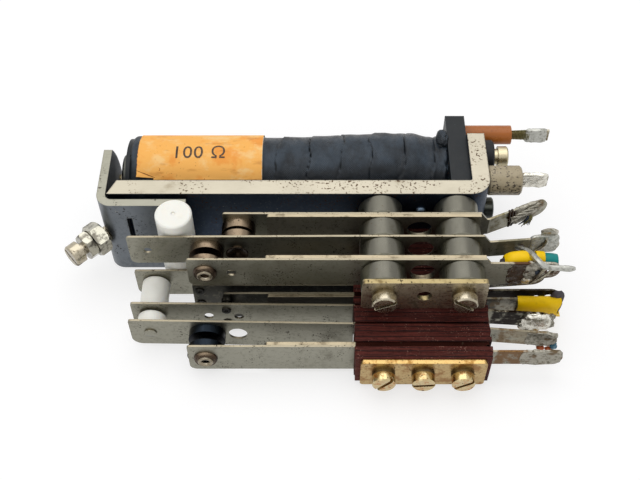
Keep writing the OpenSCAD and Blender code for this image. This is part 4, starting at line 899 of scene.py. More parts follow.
@dataclass
class Workshop:
    """Keeps the materials and turns finished meshes into pieces of the relay."""

    facets: int = 32
    materials: dict[str, bpy.types.Material] = field(default_factory=dict)

    def material(self, finish: str) -> bpy.types.Material:
        """The material of a slot or of an own finish, made once.

        Args:
            finish: a slot's name or an own finish's.

        Returns:
            The material.
        """
        if finish not in self.materials:
            self.materials[finish] = (OWN.get(finish) or SLOTS[finish]).make()
        return self.materials[finish]

    def dress_frame(self) -> None:
        """Gives every CAD node its own finish or that of its slot."""
        for row in frame["record"]["subparts"]:
            finish = row["node"] if row["node"] in OWN else row["material_slot"]
            for place in frame["nodes"][row["node"]].material_slots:
                place.material = self.material(finish)
        LOG.info("%d nodes of the frame dressed", len(frame["nodes"]))

    def piece(
        self,
        name: str,
        shape: Shape,
        slot: str,
        finish: str = "",
        replaces: Sequence[str] = (),
        body: Body = Body.FRAME,
        smooth: float = 40.0,
    ) -> None:
        """Makes one finished piece at the origin from a shape in millimetres from the heel.

        Args:
            name: the piece's own name.
            shape: its mesh, freed here.
            slot: the record's material slot that it takes its finish from.
            finish: an own finish instead of the slot's.
            replaces: CAD nodes that it stands for.
            body: the body that it moves with.
            smooth: edges flatter than this angle, in degrees, are shaded smooth.
        """
        bmesh.ops.translate(shape, verts=shape.verts, vec=HEEL)
        bmesh.ops.scale(shape, verts=shape.verts, vec=(MM, MM, MM))
        bmesh.ops.recalc_face_normals(shape, faces=shape.faces)
        if shape.calc_volume(signed=True) < 0:
            bmesh.ops.reverse_faces(shape, faces=shape.faces)
        for face in shape.faces:
            face.smooth = True
        for edge in shape.edges:
            edge.smooth = len(edge.link_faces) != 2 or edge.calc_face_angle(0.0) < math.radians(smooth)
        mesh = bpy.data.meshes.new(name)
        shape.to_mesh(mesh)
        shape.free()
        mesh.materials.append(self.material(finish or slot))
        thing = put_down(name, mesh)
        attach(thing, body.value)
        if replaces:
            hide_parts(*replaces)
        LOG.info("%s: %d faces", name, len(mesh.polygons))

    def wires(
        self, name: str, runs: Iterable[Run], slot: str, finish: str = "", replaces: Sequence[str] = ()
    ) -> None:
        """Makes one piece of round wires.

        Args:
            name: the piece's own name.
            runs: its wires.
            slot: the record's material slot that it takes its finish from.
            finish: an own finish instead of the slot's.
            replaces: CAD nodes that it stands for.
        """
        shape = bmesh.new()
        for run in runs:
            cable(shape, run)
        self.piece(name, shape, slot, finish, replaces)

    def turned(
        self,
        name: str,
        outline: Sequence[tuple[float, float]],
        centre: Point,
        slot: str,
        finish: str = "",
        body: Body = Body.FRAME,
    ) -> None:
        """Makes a turned piece that stands on a face towards the viewer.

        Args:
            name: the piece's own name.
            outline: radius and height of each corner, closed by itself.
            centre: the middle of its foot.
            slot: the record's material slot that it takes its finish from.
            finish: an own finish instead of the slot's.
            body: the body that it moves with.
        """
        shape = bmesh.new()
        x, y, z = centre
        revolve(shape, [(x + r, y - h, z) for r, h in outline], centre, (0, 1, 0), self.facets)
        self.piece(name, shape, slot, finish, body=body)


@dataclass
class Coil:
    """The taped winding and its paper label, lying along X."""

    start: float = -83.2
    end: float = -8.6
    axis_y: float = 14.7
    axis_z: float = 12.0
    radius: float = 10.3
    inner: float = 9.6
    # Places along the coil and how far the tape stands off or sinks there, seen in its outline
    contour: tuple[tuple[float, float], ...] = (
        (-83.2, 0.0), (-53.0, 0.0), (-51.6, -0.42), (-44.0, -0.3), (-38.0, -0.05), (-30.0, 0.35),
        (-21.0, 0.75), (-17.0, 0.7), (-12.6, -0.1), (-11.2, -0.35), (-8.6, 0.1),
    )
    # One lap of the tape along the coil, where a lap starts, its step up and the groove beside it
    lap: float = 7.4
    first_lap: float = -48.4
    overlap: float = 0.32
    valley: float = 0.34
    # Where laps begin to show and folds to hang loose, and over what length they grow
    laps_show: tuple[float, float] = (-54.0, 6.0)
    folds_show: tuple[float, float] = (-44.0, 20.0)
    lump: float = 0.2
    fold: float = 0.24
    torn_l: float = 2.2
    end_drop: float = 0.45
    end_l: float = 0.9
    # How far the tape may stand off towards the yoke, and its reach from the axis at the back
    yoke_gap: float = 0.3
    back_reach: float = 10.66
    label_start: float = -81.4
    label_l: float = 29.15
    label_t: float = 0.12
    label_down: float = 42.0
    label_back: float = 75.0
    label_gap: float = 0.06
    label_curl: float = 0.14
    label_rag: float = 0.16
    label_slant: float = 0.75
    # From here on the label lies level, over the start of the laps
    label_bed: float = -53.5
    # The ends of the crease and of the tear: place along the coil and angle from its top
    crease: tuple[tuple[float, float], ...] = ((-81.4, -30.5), (-77.0, -40.2))
    tear: tuple[tuple[float, float], ...] = ((-81.4, -38.6), (-77.4, -40.0))
    crease_lift: float = 9.0
    value_x: float = -67.1
    value_turn: float = -5.0
    value_h: float = 4.9
    value_squeeze: float = 0.985
    rings: int = 300
    around: int = 128
    label_rows: int = 60
    label_columns: int = 96

    def build(self, shop: Workshop) -> None:
        """Builds the tape, the label and its resistance value.

        Args:
            shop: where its pieces are finished.
        """
        self.tape(shop)
        self.label(shop)
        self.label_lines(shop)
        self.value(shop)

    def stand_off(self, x: float) -> float:
        """How far the coil's outline stands off at a place along it.

        Args:
            x: the place.

        Returns:
            The height over the tape's radius, in millimetres.
        """
        for (x0, h0), (x1, h1) in zip(self.contour, self.contour[1:]):
            if x0 <= x <= x1:
                share = (x - x0) / (x1 - x0)
                return h0 + (h1 - h0) * share * share * (3 - 2 * share)
        return 0.0

    def wrinkle(self, x: float, angle: float) -> float:
        """How far the tape stands off the winding.

        Args:
            x: place along the coil.
            angle: place round it in radians, 0 on the side away from the yoke.

        Returns:
            The offset in millimetres.
        """
        back, up = math.cos(angle), math.sin(angle)
        slack, loose = rise(x, *self.laps_show), rise(x, *self.folds_show)
        free = rise(back, -0.75, 0.5)
        lumps = noise.noise(Vector((x * 0.12, back * 1.4, up * 1.4)) * 1.3)
        folds = noise.noise(Vector((x * 0.42 + 1.1 * math.sin(angle + 0.7), back, up)))
        laps = (x - self.first_lap) / self.lap + (angle - 1.4) / math.tau + 0.16 * lumps + 0.12 * folds
        lapped = laps % 1.0
        tight = 0.4 + 0.6 * (0.5 + 0.5 * math.sin(2.4 * math.floor(laps) + 0.8))
        step = self.overlap * (1 - lapped) ** 1.4 - self.valley * max(0.0, 1 - (1 - lapped) / 0.05)
        offset = 0.04 * lumps + slack * tight * step - 0.06 * slack
        offset += loose * free * (self.lump * lumps + self.fold * folds)
        offset += self.stand_off(x) * (free if self.stand_off(x) > 0 else 1.0)
        torn = rise(x, self.end - self.torn_l, self.torn_l)
        if torn:
            offset += torn * (0.5 * noise.noise(Vector((x * 2.6, angle * 7.0, 3.0))) - 0.25)
        if back < -0.8:
            return min(offset, self.yoke_gap)
        return min(offset, self.back_reach / back - self.radius) if back > 0.5 else offset

    def tape(self, shop: Workshop) -> None:
        """Cloth tape wound over the whole coil, slack and torn beside the rear cheek.

        Args:
            shop: where its pieces are finished.
        """
        shape = bmesh.new()
        step = (self.end - self.start) / self.rings
        skin = [(self.start + i * step, self.radius, 0) for i in range(self.rings + 1)]
        outline = [(self.start, self.inner, 0), *skin, (self.end, self.inner, 0)]
        revolve(shape, outline, (0, 0, 0), (1, 0, 0), self.around)
        for vert in shape.verts:
            x, y, z = vert.co
            r = math.hypot(y, z)
            if r > self.inner + 0.01:
                ends = min(1.0, min(x - self.start, self.end - x) / self.end_l)
                grown = r + self.wrinkle(x, math.atan2(z, y)) - self.end_drop * (1 - ends) ** 2
                vert.co = (x, y * grown / r, z * grown / r)
        bmesh.ops.translate(shape, verts=shape.verts, vec=(0, self.axis_y, self.axis_z))
        shop.piece("tape_wrap", shape, "cloth_tape", replaces=["coil_tape"], smooth=60)

    def wrapped(self, x: float, turn: float, lift: float) -> Vector:
        """A place on the coil's skin.

        Args:
            x: place along the coil.
            turn: angle in degrees from the top of the coil towards the back.
            lift: height over the tape.

        Returns:
            The place.
        """
        angle = math.radians(90 - turn)
        r = self.radius + self.wrinkle(min(x, self.label_bed), angle) + lift
        return Vector((x, self.axis_y + r * math.cos(angle), self.axis_z + r * math.sin(angle)))

    def on_label(self, x: float, turn: float) -> Vector:
        """A place along the coil and a turn as the label's flat coordinates, -0.5 to 0.5.

        Args:
            x: place along the coil.
            turn: angle in degrees from the top of the coil towards the back.

        Returns:
            The place on the flat sheet.
        """
        u = (x - self.label_start) / self.label_l
        v = (turn + self.label_down) / (self.label_down + self.label_back)
        return Vector((u - 0.5, v - 0.5, 0))

    def label(self, shop: Workshop) -> None:
        """Paper patch stuck over the tape, creased at one corner, with a strip torn off below the crease.

        Args:
            shop: where its pieces are finished.
        """
        shape = bmesh.new()
        bmesh.ops.create_grid(shape, x_segments=self.label_columns, y_segments=self.label_rows, size=0.5)
        crease, tear = ([self.on_label(*end) for end in line] for line in (self.crease, self.tear))
        for low, high in (crease, tear):
            geom = shape.verts[:] + shape.edges[:] + shape.faces[:]
            across = (high - low).cross(UP)
            bmesh.ops.bisect_plane(shape, geom=geom, dist=1e-6, plane_co=low, plane_no=across)
        across = (tear[1] - tear[0]).cross(UP)
        middles = [(f, f.calc_center_median()) for f in shape.faces]
        gone = [f for f, middle in middles if (middle - tear[0]).dot(across) > 0 and middle.x < tear[1].x]
        bmesh.ops.delete(shape, geom=gone, context="FACES")
        across = (crease[1] - crease[0]).cross(UP).normalized()
        for vert in shape.verts:
            below = (vert.co - crease[0]).dot(across)
            folded = self.crease_lift * below if below > 0 and vert.co.x < crease[1].x else 0.0
            vert.co = self.laid(vert.co.x, vert.co.y, folded)
        bmesh.ops.recalc_face_normals(shape, faces=shape.faces)
        top = max(shape.faces, key=lambda f: f.calc_center_median().z)
        if top.normal.z < 0:
            bmesh.ops.reverse_faces(shape, faces=shape.faces)
        bmesh.ops.solidify(shape, geom=shape.faces[:], thickness=-self.label_t)
        shop.piece("label_paper", shape, "paper_label", replaces=["resistance_label"], smooth=60)

    def laid(self, u: float, v: float, folded: float) -> Vector:
        """A place of the flat label once it is stuck on.

        Args:
            u: place along the label, -0.5 to 0.5.
            v: place across it, -0.5 to 0.5.
            folded: how far the crease lifts it.

        Returns:
            The place, with the sheet's edges curled and a little ragged.
        """
        edge = min(0.5 - abs(u), 0.5 - abs(v))
        lift = self.label_gap + folded
        curl = 0.4 + noise.noise(Vector((u * 9, v * 9, 1.0)))
        lift += self.label_curl * max(0.0, 1 - edge / 0.03) ** 2 * curl
        ragged = self.label_rag * noise.noise(Vector((u * 40, v * 40, 0))) if edge < 0.004 else 0.0
        slant = self.label_slant * max(0.0, v) if u < -0.49 else 0.0
        x = self.label_start + (u + 0.5) * self.label_l + ragged + slant
        turn = -self.label_down + (v + 0.5) * (self.label_down + self.label_back)
        return self.wrapped(x, turn, lift)

    def label_lines(self, shop: Workshop) -> None:
        """A painted shadow line along the crease and the undyed fibres of the cut edge.

        Args:
            shop: where its pieces are finished.
        """
        lift, right = self.label_gap + self.label_t, self.label_start + self.label_l
        # A thin brown line laid along the crease: the painted shadow of the fold
        crease = [self.wrapped(-81.3 + 0.52 * i, -30.7 - 1.06 * i, lift + 0.06) for i in range(9)]
        shop.wires("label_crease_shadow", [Run(crease, 0.09, (0.6, 1.0, 1.0, 0.5))], "paper_label", "paper_crease")
        edge = [self.wrapped(right, -41.5 + 4.85 * i, lift - 0.02) for i in range(25)]
        shop.wires("label_cut_edge", [Run(edge, 0.08)], "paper_label", "paper_edge")

    def value(self, shop: Workshop) -> None:
        """The coil's resistance, a plain number and unit, printed on the label.

        Args:
            shop: where its pieces are finished.
        """
        shape = bmesh.new()
        data = bpy.data.curves.new("value_print", "FONT")
        data.body = "100 Ω"
        data.size = self.value_h
        data.align_x = "CENTER"
        data.align_y = "CENTER"
        data.offset = -0.012
        data.space_character = 1.05
        data.extrude = 0.02
        data.resolution_u = 4
        fill(shape, data)
        bmesh.ops.triangulate(shape, faces=shape.faces)
        long_edges = [e for e in shape.edges if e.calc_length() > 0.4]
        bmesh.ops.subdivide_edges(shape, edges=long_edges, cuts=2)
        lift = self.label_gap + self.label_t + 0.06
        for vert in shape.verts:
            turn = math.degrees(vert.co.y / self.radius) + self.value_turn
            vert.co = self.wrapped(self.value_x + vert.co.x * self.value_squeeze, turn, lift + vert.co.z)
        shop.piece("value_ink", shape, "paper_label", "ink")


@dataclass(frozen=True)
class Tag:
    """Middle of one soldering tag: its spring's depth, its height and its bend away from the viewer."""

    depth: float
    height: float
    bend: float = 0.0
    root: float = -0.8
    half_t: float = 0.25

    def at(self, along: float, out: float, up: float) -> Vector:
        """A place on the tag.

        Args:
            along: distance from the tag's bend.
            out: distance from the middle of the strip towards the viewer.
            up: height above the tag's middle.

        Returns:
            The place.
        """
        angle = math.radians(self.bend)
        x = self.root + along * math.cos(angle) + out * math.sin(angle)
        y = along * math.sin(angle) - out * math.cos(angle) - self.depth - self.half_t
        return Vector((x, y, self.height + up))


A1, A2, A3 = Tag(5.0, 18.9, 24), Tag(11.3, 18.9, 5), Tag(17.6, 19.6)
B3, B4, B5, B6 = Tag(17.8, 6.2), Tag(21.0, 6.2, -4), Tag(25.8, 6.2, -5), Tag(31.6, 6.2)
COIL_UP, COIL_LOW, COIL_END = Tag(-23.35, 18.5), Tag(-7.25, 20.4), Tag(-18.6, 22.3)


@dataclass(frozen=True)
class Lump:
    """A frozen coat or drop on a tag.

    Its name, tag, reach along the tag, heights, thickness, unevenness, finish, distance out from the strip,
    squareness, the CAD nodes it stands for and its slot.
    """

    name: str
    tag: Tag
    along: tuple[float, float]
    height: tuple[float, float]
    thick: float
    uneven: float
    finish: str
    out: float = 0.0
    square: float = 5.0
    replaces: tuple[str, ...] = ()
    slot: str = "solder"


LUMPS = (
    Lump("tin_a1", A1, (6.2, 14.1), (-2.75, 2.8), 0.48, 0.35, "solder_dull"),
    Lump("tin_a2", A2, (8.4, 15.1), (-2.6, 3.6), 0.5, 0.15, "solder_cool"),
    Lump("flux_a2", A2, (5.3, 7.3), (-0.7, 1.3), 0.34, 0.15, "burnt_flux", 0.1, 2.5),
    Lump("flux_a3", A3, (2.9, 8.0), (-5.2, 2.3), 0.36, 0.25, "burnt_flux"),
    Lump("tin_a3", A3, (6.6, 11.0), (-4.2, 2.75), 0.62, 0.5, "solder_dull"),
    # A blue-black lump, in the navy thread's finish, stands where the third tag's hole looks dark: painted
    # shade
    Lump("hole_shade_a3", A3, (8.7, 10.0), (-1.0, 0.6), 0.5, 0.1, "thread_navy", 0.35, 2.5),
    Lump("amber_a3", A3, (6.5, 8.6), (-4.6, -2.6), 0.6, 0.25, "solder_flux", 0.2, 3.0),
    Lump("end_b2", B3, (14.2, 17.4), (-4.7, 4.6), 0.62, 0.3, "shrunk_end", -0.5, 3.2),
    Lump("bright_b4", B4, (7.6, 14.4), (-2.9, 2.6), 1.2, 0.35, "solder_bright", 0.35, 2.8, ("solder",)),
    Lump("amber_b4", B4, (7.2, 12.4), (-3.3, -1.4), 0.95, 0.35, "solder_flux", 0.45, 3.0),
    Lump("drop_b4", B4, (13.4, 15.2), (-2.4, -0.2), 0.7, 0.5, "solder_dull", 0.1, 2.4),
    Lump("tip_b4", B4, (13.2, 14.9), (0.2, 2.4), 0.6, 0.5, "solder_dull", 0.1, 2.4),
    Lump("tin_b5", B5, (8.0, 14.8), (-2.6, 2.5), 0.55, 0.45, "solder_dull"),
    Lump("orange_b5", B5, (10.9, 12.6), (-4.4, -2.9), 0.7, 0.4, "enamel_orange", 0.3, 2.2),
    Lump("orange_tip_b5", B5, (12.8, 14.5), (-4.5, -3.1), 0.6, 0.4, "enamel_orange", 0.4, 2.2),
    Lump("blue_b5", B5, (13.9, 15.2), (-3.2, -1.2), 0.6, 0.4, "enamel_blue", 0.2, 2.2),
    Lump("tin_b6", B6, (6.0, 15.2), (-2.75, 2.75), 0.46, 0.3, "solder_dull"),
    Lump("tin_coil_up", COIL_UP, (11.8, 17.3), (-2.4, 1.9), 0.5, 0.2, "solder_cool", 0.0, 6.0),
    Lump("tin_coil_low", COIL_LOW, (8.6, 14.7), (-2.1, 2.3), 0.5, 0.22, "solder_bright", 0.0, 8.0),
    Lump("tape_flap", COIL_END, (-10.4, -7.5), (-1.9, 1.5), 2.6, 0.55, "cloth_tape", 0.0, 2.2, (),
        "cloth_tape"),
)


@dataclass(frozen=True)
class Fray:
    """A tuft of lapping threads: its name, finish, place along the first tag, count and extra length."""

    name: str
    finish: str
    start: float
    threads: int
    longer: float


FRAYS = (
    Fray("threads_olive", "thread_olive", 10.6, 9, 0.0),
    Fray("threads_navy", "thread_navy", 9.9, 8, 0.5),
)


@dataclass(frozen=True)
class Sleeve:
    """A round sleeve behind the third tag: its name, finish, radius and the places on its axis."""

    name: str
    finish: str
    radius: float
    path: tuple[Point, ...]


SLEEVES = (
    Sleeve("sleeve_long", "sleeve_yellow", 1.75, (
        (1.6, -15.7, 18.9), (2.1, -15.7, 19.7), (3.0, -15.7, 20.35), (4.2, -15.65, 20.6), (5.6, -15.6, 20.7),
        (6.8, -15.6, 20.5), (7.7, -15.6, 20.1))),
    Sleeve("sleeve_short", "sleeve_yellow", 1.65, (
        (8.3, -15.6, 20.8), (9.2, -15.6, 20.75), (10.2, -15.6, 20.6))),
    Sleeve("sleeve_teal", "sleeve_teal", 1.6, (
        (10.2, -15.6, 20.2), (11.2, -15.6, 20.15), (12.2, -15.6, 20.0), (13.2, -15.6, 19.7))),
)
SLEEVE_CORE = Run([
    (1.5, -15.7, 18.7), (3.0, -15.7, 20.2), (6.0, -15.6, 20.6), (9.5, -15.6, 20.6), (12.9, -15.6, 19.8),
], 1.25)
# The stout bare wire from the second tag's hole down to the third tag, and the thin ones soldered below it
LEAD = Run([
    (4.9, -11.3, 19.3), (5.6, -12.3, 19.9), (6.4, -13.4, 20.9), (7.1, -15.0, 21.9), (7.75, -17.0, 22.9),
    (8.35, -18.5, 23.3), (9.2, -19.1, 22.7), (10.4, -19.15, 22.3), (12.0, -19.1, 22.1), (13.8, -19.1, 21.9),
    (15.3, -19.0, 21.6), (16.3, -18.9, 21.6),
], 0.68, (0.9, 1.0, 1.0, 1.0, 1.05, 1.1, 1.0, 0.95, 0.9, 1.0, 1.15, 0.6))
STRANDS = (
    Run([
        (10.0, -18.7, 21.6), (9.3, -18.95, 20.2), (8.6, -19.0, 18.6), (8.1, -18.9, 17.2), (7.5, -18.7, 15.6),
    ], 0.34, (1.2, 1.0, 1.0, 0.8)),
    Run([(11.6, -18.5, 21.2), (10.9, -18.9, 19.9), (9.9, -19.0, 18.4), (9.0, -18.9, 17.4)], 0.28),
)


@dataclass
class TagWork:
    """What is left of the wiring on the soldering tags: solder, cut wires, sleeves and threads."""

    cuts: int = 11
    # Where the third spring's tag begins and what share of its length shows
    tag_root: float = 3.0
    tag_share: float = 0.8
    strands: int = 5
    strand_r: float = 0.28
    twist: float = 0.4
    thread_r: float = 0.13
    thread_gap: float = 0.28
    ear_t: float = 0.4
    ear_roll: float = 165.0
    flat_start: float = 6.1
    flat_l: float = 10.4
    flat_t: float = 1.25
    flat_w: float = 3.75

    def build(self, shop: Workshop) -> None:
        """Builds the wiring tag by tag.

        Args:
            shop: where its pieces are finished.
        """
        for seed, lump in enumerate(LUMPS):
            self.lump(shop, lump, seed * 3.7)
        self.first_tag(shop)
        self.ear(shop)
        self.short_tag(shop)
        shop.wires("lead_wire", [LEAD], "tinned_wire", "solder_cool", ["wire_ends"])
        shop.wires("strands_a3", STRANDS, "tinned_wire")
        self.flat_sleeve(shop)
        self.sleeves(shop)
        self.coil_wire(shop)

    def lump(self, shop: Workshop, lump: Lump, seed: float) -> None:
        """Builds one coat or drop of solder, flux or enamel.

        Args:
            shop: where it is finished.
            lump: its sizes.
            seed: moves the pattern of its unevenness.
        """
        shape = bmesh.new()
        bmesh.ops.create_cube(shape, size=2.0)
        bmesh.ops.subdivide_edges(shape, edges=shape.edges[:], cuts=self.cuts, use_grid_fill=True)
        middle, half = sum(lump.along) / 2, (lump.along[1] - lump.along[0]) / 2
        centre, tall = sum(lump.height) / 2, (lump.height[1] - lump.height[0]) / 2
        for vert in shape.verts:
            swell = sum(abs(c) ** lump.square for c in vert.co) ** (1 / lump.square)
            a, b, c = vert.co / swell
            place = Vector((a * half, b * lump.thick, c * tall))
            rough = noise.noise_vector(Vector((place.x * 0.9 + seed, b * 1.3, place.z * 0.9)))
            fine = noise.noise_vector(Vector((place.x * 2.7, b * 2.0 + seed, place.z * 2.7)))
            place += lump.uneven * (Vector((0.8 * rough.x, rough.y * abs(b), 0.8 * rough.z)) + 0.5 * fine)
            vert.co = lump.tag.at(middle + place.x, lump.out + place.y, centre + place.z)
        shop.piece(lump.name, shape, lump.slot, lump.finish, lump.replaces, smooth=70)

    def first_tag(self, shop: Workshop) -> None:
        """Strands bound to the first tag, twisted and tinned, and the frayed threads that hang from them.

        Args:
            shop: where its pieces are finished.
        """
        shop.wires("strands_a1", [self.strand(k * math.tau / self.strands) for k in range(self.strands)],
            "tinned_wire", "solder_dull")
        binding = [
            A1.at(5.0 + 0.055 * i, 0.55 * math.cos(0.5 * i) + 0.1, 0.1 + 2.95 * math.sin(0.5 * i))
            for i in range(28)
        ]
        shop.wires("binding_a1", [Run(binding, 0.24)], "solder", "burnt_flux")
        for fray in FRAYS:
            threads = [self.thread(fray, i) for i in range(fray.threads)]
            shop.wires(fray.name, threads, "solder", fray.finish)

    def strand(self, start: float) -> Run:
        """One strand of the first tag's bundle, which starts at an angle round it.

        Args:
            start: the angle, in radians.

        Returns:
            The strand.
        """
        turns = [(i, start + self.twist * i) for i in range(15)]
        return Run([
            A1.at(5.4 + 0.58 * i, 0.65 + 0.3 * math.sin(turn), 0.2 + 0.13 * i + 0.7 * math.cos(turn))
            for i, turn in turns
        ], self.strand_r)

    def thread(self, fray: Fray, number: int) -> Run:
        """One loose thread of a tuft, numbered from its left end.

        Args:
            fray: its tuft.
            number: its place in the tuft.

        Returns:
            The thread.
        """
        sway = noise.noise_vector(Vector((number * 1.7, fray.start, 0.5)))
        spread = (number - fray.threads / 2) * self.thread_gap
        drop = 1.4 + 1.1 * abs(sway.z) + fray.longer
        return Run([
            A1.at(fray.start + 0.1 * spread, 1.1, -0.2),
            A1.at(fray.start + 0.5 * spread, 1.5 + 0.3 * sway.y, -0.5 - 0.3 * drop),
            A1.at(fray.start + spread - 0.3, 1.3 + 0.8 * sway.y, -0.6 - 0.7 * drop),
            A1.at(fray.start + 1.5 * spread - 0.5 + sway.x, 1.2 + sway.y, -0.7 - drop),
        ], self.thread_r, (1.0, 0.8, 0.5))

    def ear(self, shop: Workshop) -> None:
        """Lip of the second tag, curled up and over, with the ridge below it.

        Args:
            shop: where its pieces are finished.
        """
        shape = bmesh.new()
        bmesh.ops.create_grid(shape, x_segments=14, y_segments=12, size=0.5)
        for vert in shape.verts:
            u, v = vert.co.x + 0.5, vert.co.y + 0.5
            roll = math.radians(self.ear_roll) * v * (0.55 + 0.45 * u)
            reach = 1.6 * (0.45 + 0.55 * math.sin(math.pi * min(1.0, u * 0.8 + 0.15)))
            lean = 0.25 - 1.3 * math.sin(roll / 2) + 0.7 * reach * (1 - math.cos(roll))
            vert.co = A2.at(11.0 + 3.5 * u - 0.5 * v, lean, 2.2 + 2.6 * reach * math.sin(roll * 0.72))
        bmesh.ops.recalc_face_normals(shape, faces=shape.faces)
        bmesh.ops.solidify(shape, geom=shape.faces[:], thickness=self.ear_t)
        ridge = ((8.9, 0.5, -1.6), (10.4, 0.75, -0.9), (11.6, 0.85, 0.4), (12.2, 0.8, 1.9), (12.0, 0.7, 3.0))
        cable(shape, Run([A2.at(*place) for place in ridge], 0.42, (0.6, 1.0, 0.8)))
        shop.piece("ear_a2", shape, "solder", smooth=70)

    def short_tag(self, shop: Workshop) -> None:
        """The third spring with its tag drawn in to the photographed length.

        Args:
            shop: where its pieces are finished.
        """
        shape = bmesh.new()
        shape.from_mesh(frame["nodes"]["spring_a3"].data)
        bmesh.ops.scale(shape, verts=shape.verts, vec=(1 / MM, 1 / MM, 1 / MM))
        bmesh.ops.translate(shape, verts=shape.verts, vec=-HEEL)
        bmesh.ops.remove_doubles(shape, verts=shape.verts, dist=SEAM)
        for vert in shape.verts:
            if vert.co.x > self.tag_root:
                vert.co.x = self.tag_root + (vert.co.x - self.tag_root) * self.tag_share
        shop.piece("spring_third", shape, "nickel_silver", "spring_a3", ["spring_a3"])

    def tube(self, shape: Shape, points: Sequence[Point], radius: float, wall: float = 0.4) -> None:
        """Adds an open sleeve along a gently bent path to a shape that is still empty.

        Args:
            shape: the shape that gets it.
            points: places on its axis, left to right.
            radius: its outer radius.
            wall: its wall's thickness.
        """
        ring = bmesh.ops.create_circle(shape, segments=24, radius=radius)["verts"]
        upright = UP.rotation_difference(Vector((1, 0, 0))).to_matrix()
        bmesh.ops.rotate(shape, verts=ring, cent=(0, 0, 0), matrix=upright)
        bmesh.ops.translate(shape, verts=ring, vec=points[0])
        edges = shape.edges[:]
        skin: list[bmesh.types.BMFace] = []
        for last, point in zip(points, points[1:]):
            made = bmesh.ops.extrude_edge_only(shape, edges=edges)["geom"]
            verts = [g for g in made if isinstance(g, bmesh.types.BMVert)]
            edges = [g for g in made if isinstance(g, bmesh.types.BMEdge)]
            skin += [g for g in made if isinstance(g, bmesh.types.BMFace)]
            bmesh.ops.translate(shape, verts=verts, vec=Vector(point) - Vector(last))
        bmesh.ops.recalc_face_normals(shape, faces=skin)
        bmesh.ops.solidify(shape, geom=skin, thickness=wall)

    def flat_sleeve(self, shop: Workshop) -> None:
        """The yellow sleeve slipped over a tag, pressed flat and dented, with a ragged end.

        Args:
            shop: where its pieces are finished.
        """
        shape = bmesh.new()
        path = [(self.flat_start + self.flat_l * i / 12, 0, 0) for i in range(13)]
        self.tube(shape, path, 1.0, 0.3)
        for vert in shape.verts:
            x, y, z = vert.co
            share = (x - self.flat_start) / self.flat_l
            flat = abs(z) ** 0.8 * math.copysign(1, z)
            x -= share ** 4 * (0.7 + 0.55 * math.cos(z * 3.4 + 0.3))
            x += (1 - share) ** 4 * 0.12 * math.sin(z * 5) - 0.45 * share * share * z
            dent = 0.2 * noise.noise(Vector((x * 0.35, y, z * 1.3)))
            out = dent - y * (self.flat_t + 0.25 * share)
            vert.co = B3.at(x + 0.8, out, dent - 0.75 + flat * (self.flat_w - 0.25 * share))
        shop.piece("sleeve_flat_b3", shape, "sleeve_yellow", replaces=["wire_sleeves"], smooth=50)

    def sleeves(self, shop: Workshop) -> None:
        """The round sleeves left behind the longest tag and the cut wire inside them.

        Args:
            shop: where its pieces are finished.
        """
        for sleeve in SLEEVES:
            shape = bmesh.new()
            self.tube(shape, sleeve.path, sleeve.radius)
            shop.piece(sleeve.name, shape, "sleeve_yellow", sleeve.finish)
        shop.wires("sleeve_core", [SLEEVE_CORE], "solder", "shrunk_end")

    def coil_wire(self, shop: Workshop) -> None:
        """The winding's end, lapped round the upper coil tag and soldered at its tip.

        Args:
            shop: where its pieces are finished.
        """
        laps = [(7.6 + 0.05 * i, 1.5 + 0.004 * i, 0.9 * i) for i in range(92)]
        path = [(x, 23.1 + 0.55 * math.cos(turn), 18.5 + r * math.sin(turn)) for x, r, turn in laps]
        shop.wires("coil_wire_end", [Run(path, self.thread_r)], "copper_wire", "thread_olive")


@dataclass
class PileFittings:
    """Small turned pieces of the piles: eyelets, the plug in the yoke and the pressed end of a stud."""

    eyelet_x: float = -63.8
    # Each eyelet's spring, the depth of that spring's face and the height of its middle
    eyelets: tuple[tuple[str, float, float], ...] = (("a3", 18.1, 18.9), ("b6", 32.1, 6.2))
    eyelet_r: float = 2.62
    tail_r: float = 2.32
    tail_h: float = 0.76
    plug: Point = (-15.6, 0.0, 17.6)
    stud: Point = (-76.6, -25.5, 6.2)

    def build(self, shop: Workshop) -> None:
        """Builds them one by one.

        Args:
            shop: where its pieces are finished.
        """
        for name, depth, height in self.eyelets:
            self.eyelet(shop, name, (self.eyelet_x, -depth, height))
        dome = [(0.0, -0.3), (1.75, -0.3), (1.8, 0.0), (1.6, 0.7), (1.15, 1.15), (0.6, 1.35), (0.0, 1.4)]
        shop.turned("yoke_plug", dome, self.plug, "soft_iron", "plug_dark")
        disc = [(0.0, 0.02), (1.44, 0.02), (1.44, 0.32), (1.36, 0.38), (0.0, 0.38)]
        shop.turned("stud_mark", disc, self.stud, "nickel_silver", body=Body.BLADE_B5)

    def eyelet(self, shop: Workshop, name: str, centre: Point) -> None:
        """The spread end of a heavy contact's shank: a dull flange with a bright rolled rim.

        Args:
            shop: where it is finished.
            name: the spring that it stands on.
            centre: the middle of its foot.
        """
        r, t, h = self.eyelet_r, self.tail_r, self.tail_h
        flange = [(t, 0.02), (r, 0.02), (r, 0.3), (r - 0.12, 0.45), (t + 0.02, 0.7), (1.7, h + 0.12),
            (1.3, h + 0.1), (1.3, h + 0.01), (t, h + 0.01)]
        shop.turned(f"eyelet_flange_{name}", flange, centre, "contact_copper")
        rim = [(1.75, h + 0.02), (1.72, h + 0.35), (1.5, h + 0.52), (1.2, h + 0.5), (0.95, h + 0.3),
            (0.8, h + 0.02)]
        shop.turned(f"eyelet_rim_{name}", rim, centre, "contact_copper", "eyelet_rim")


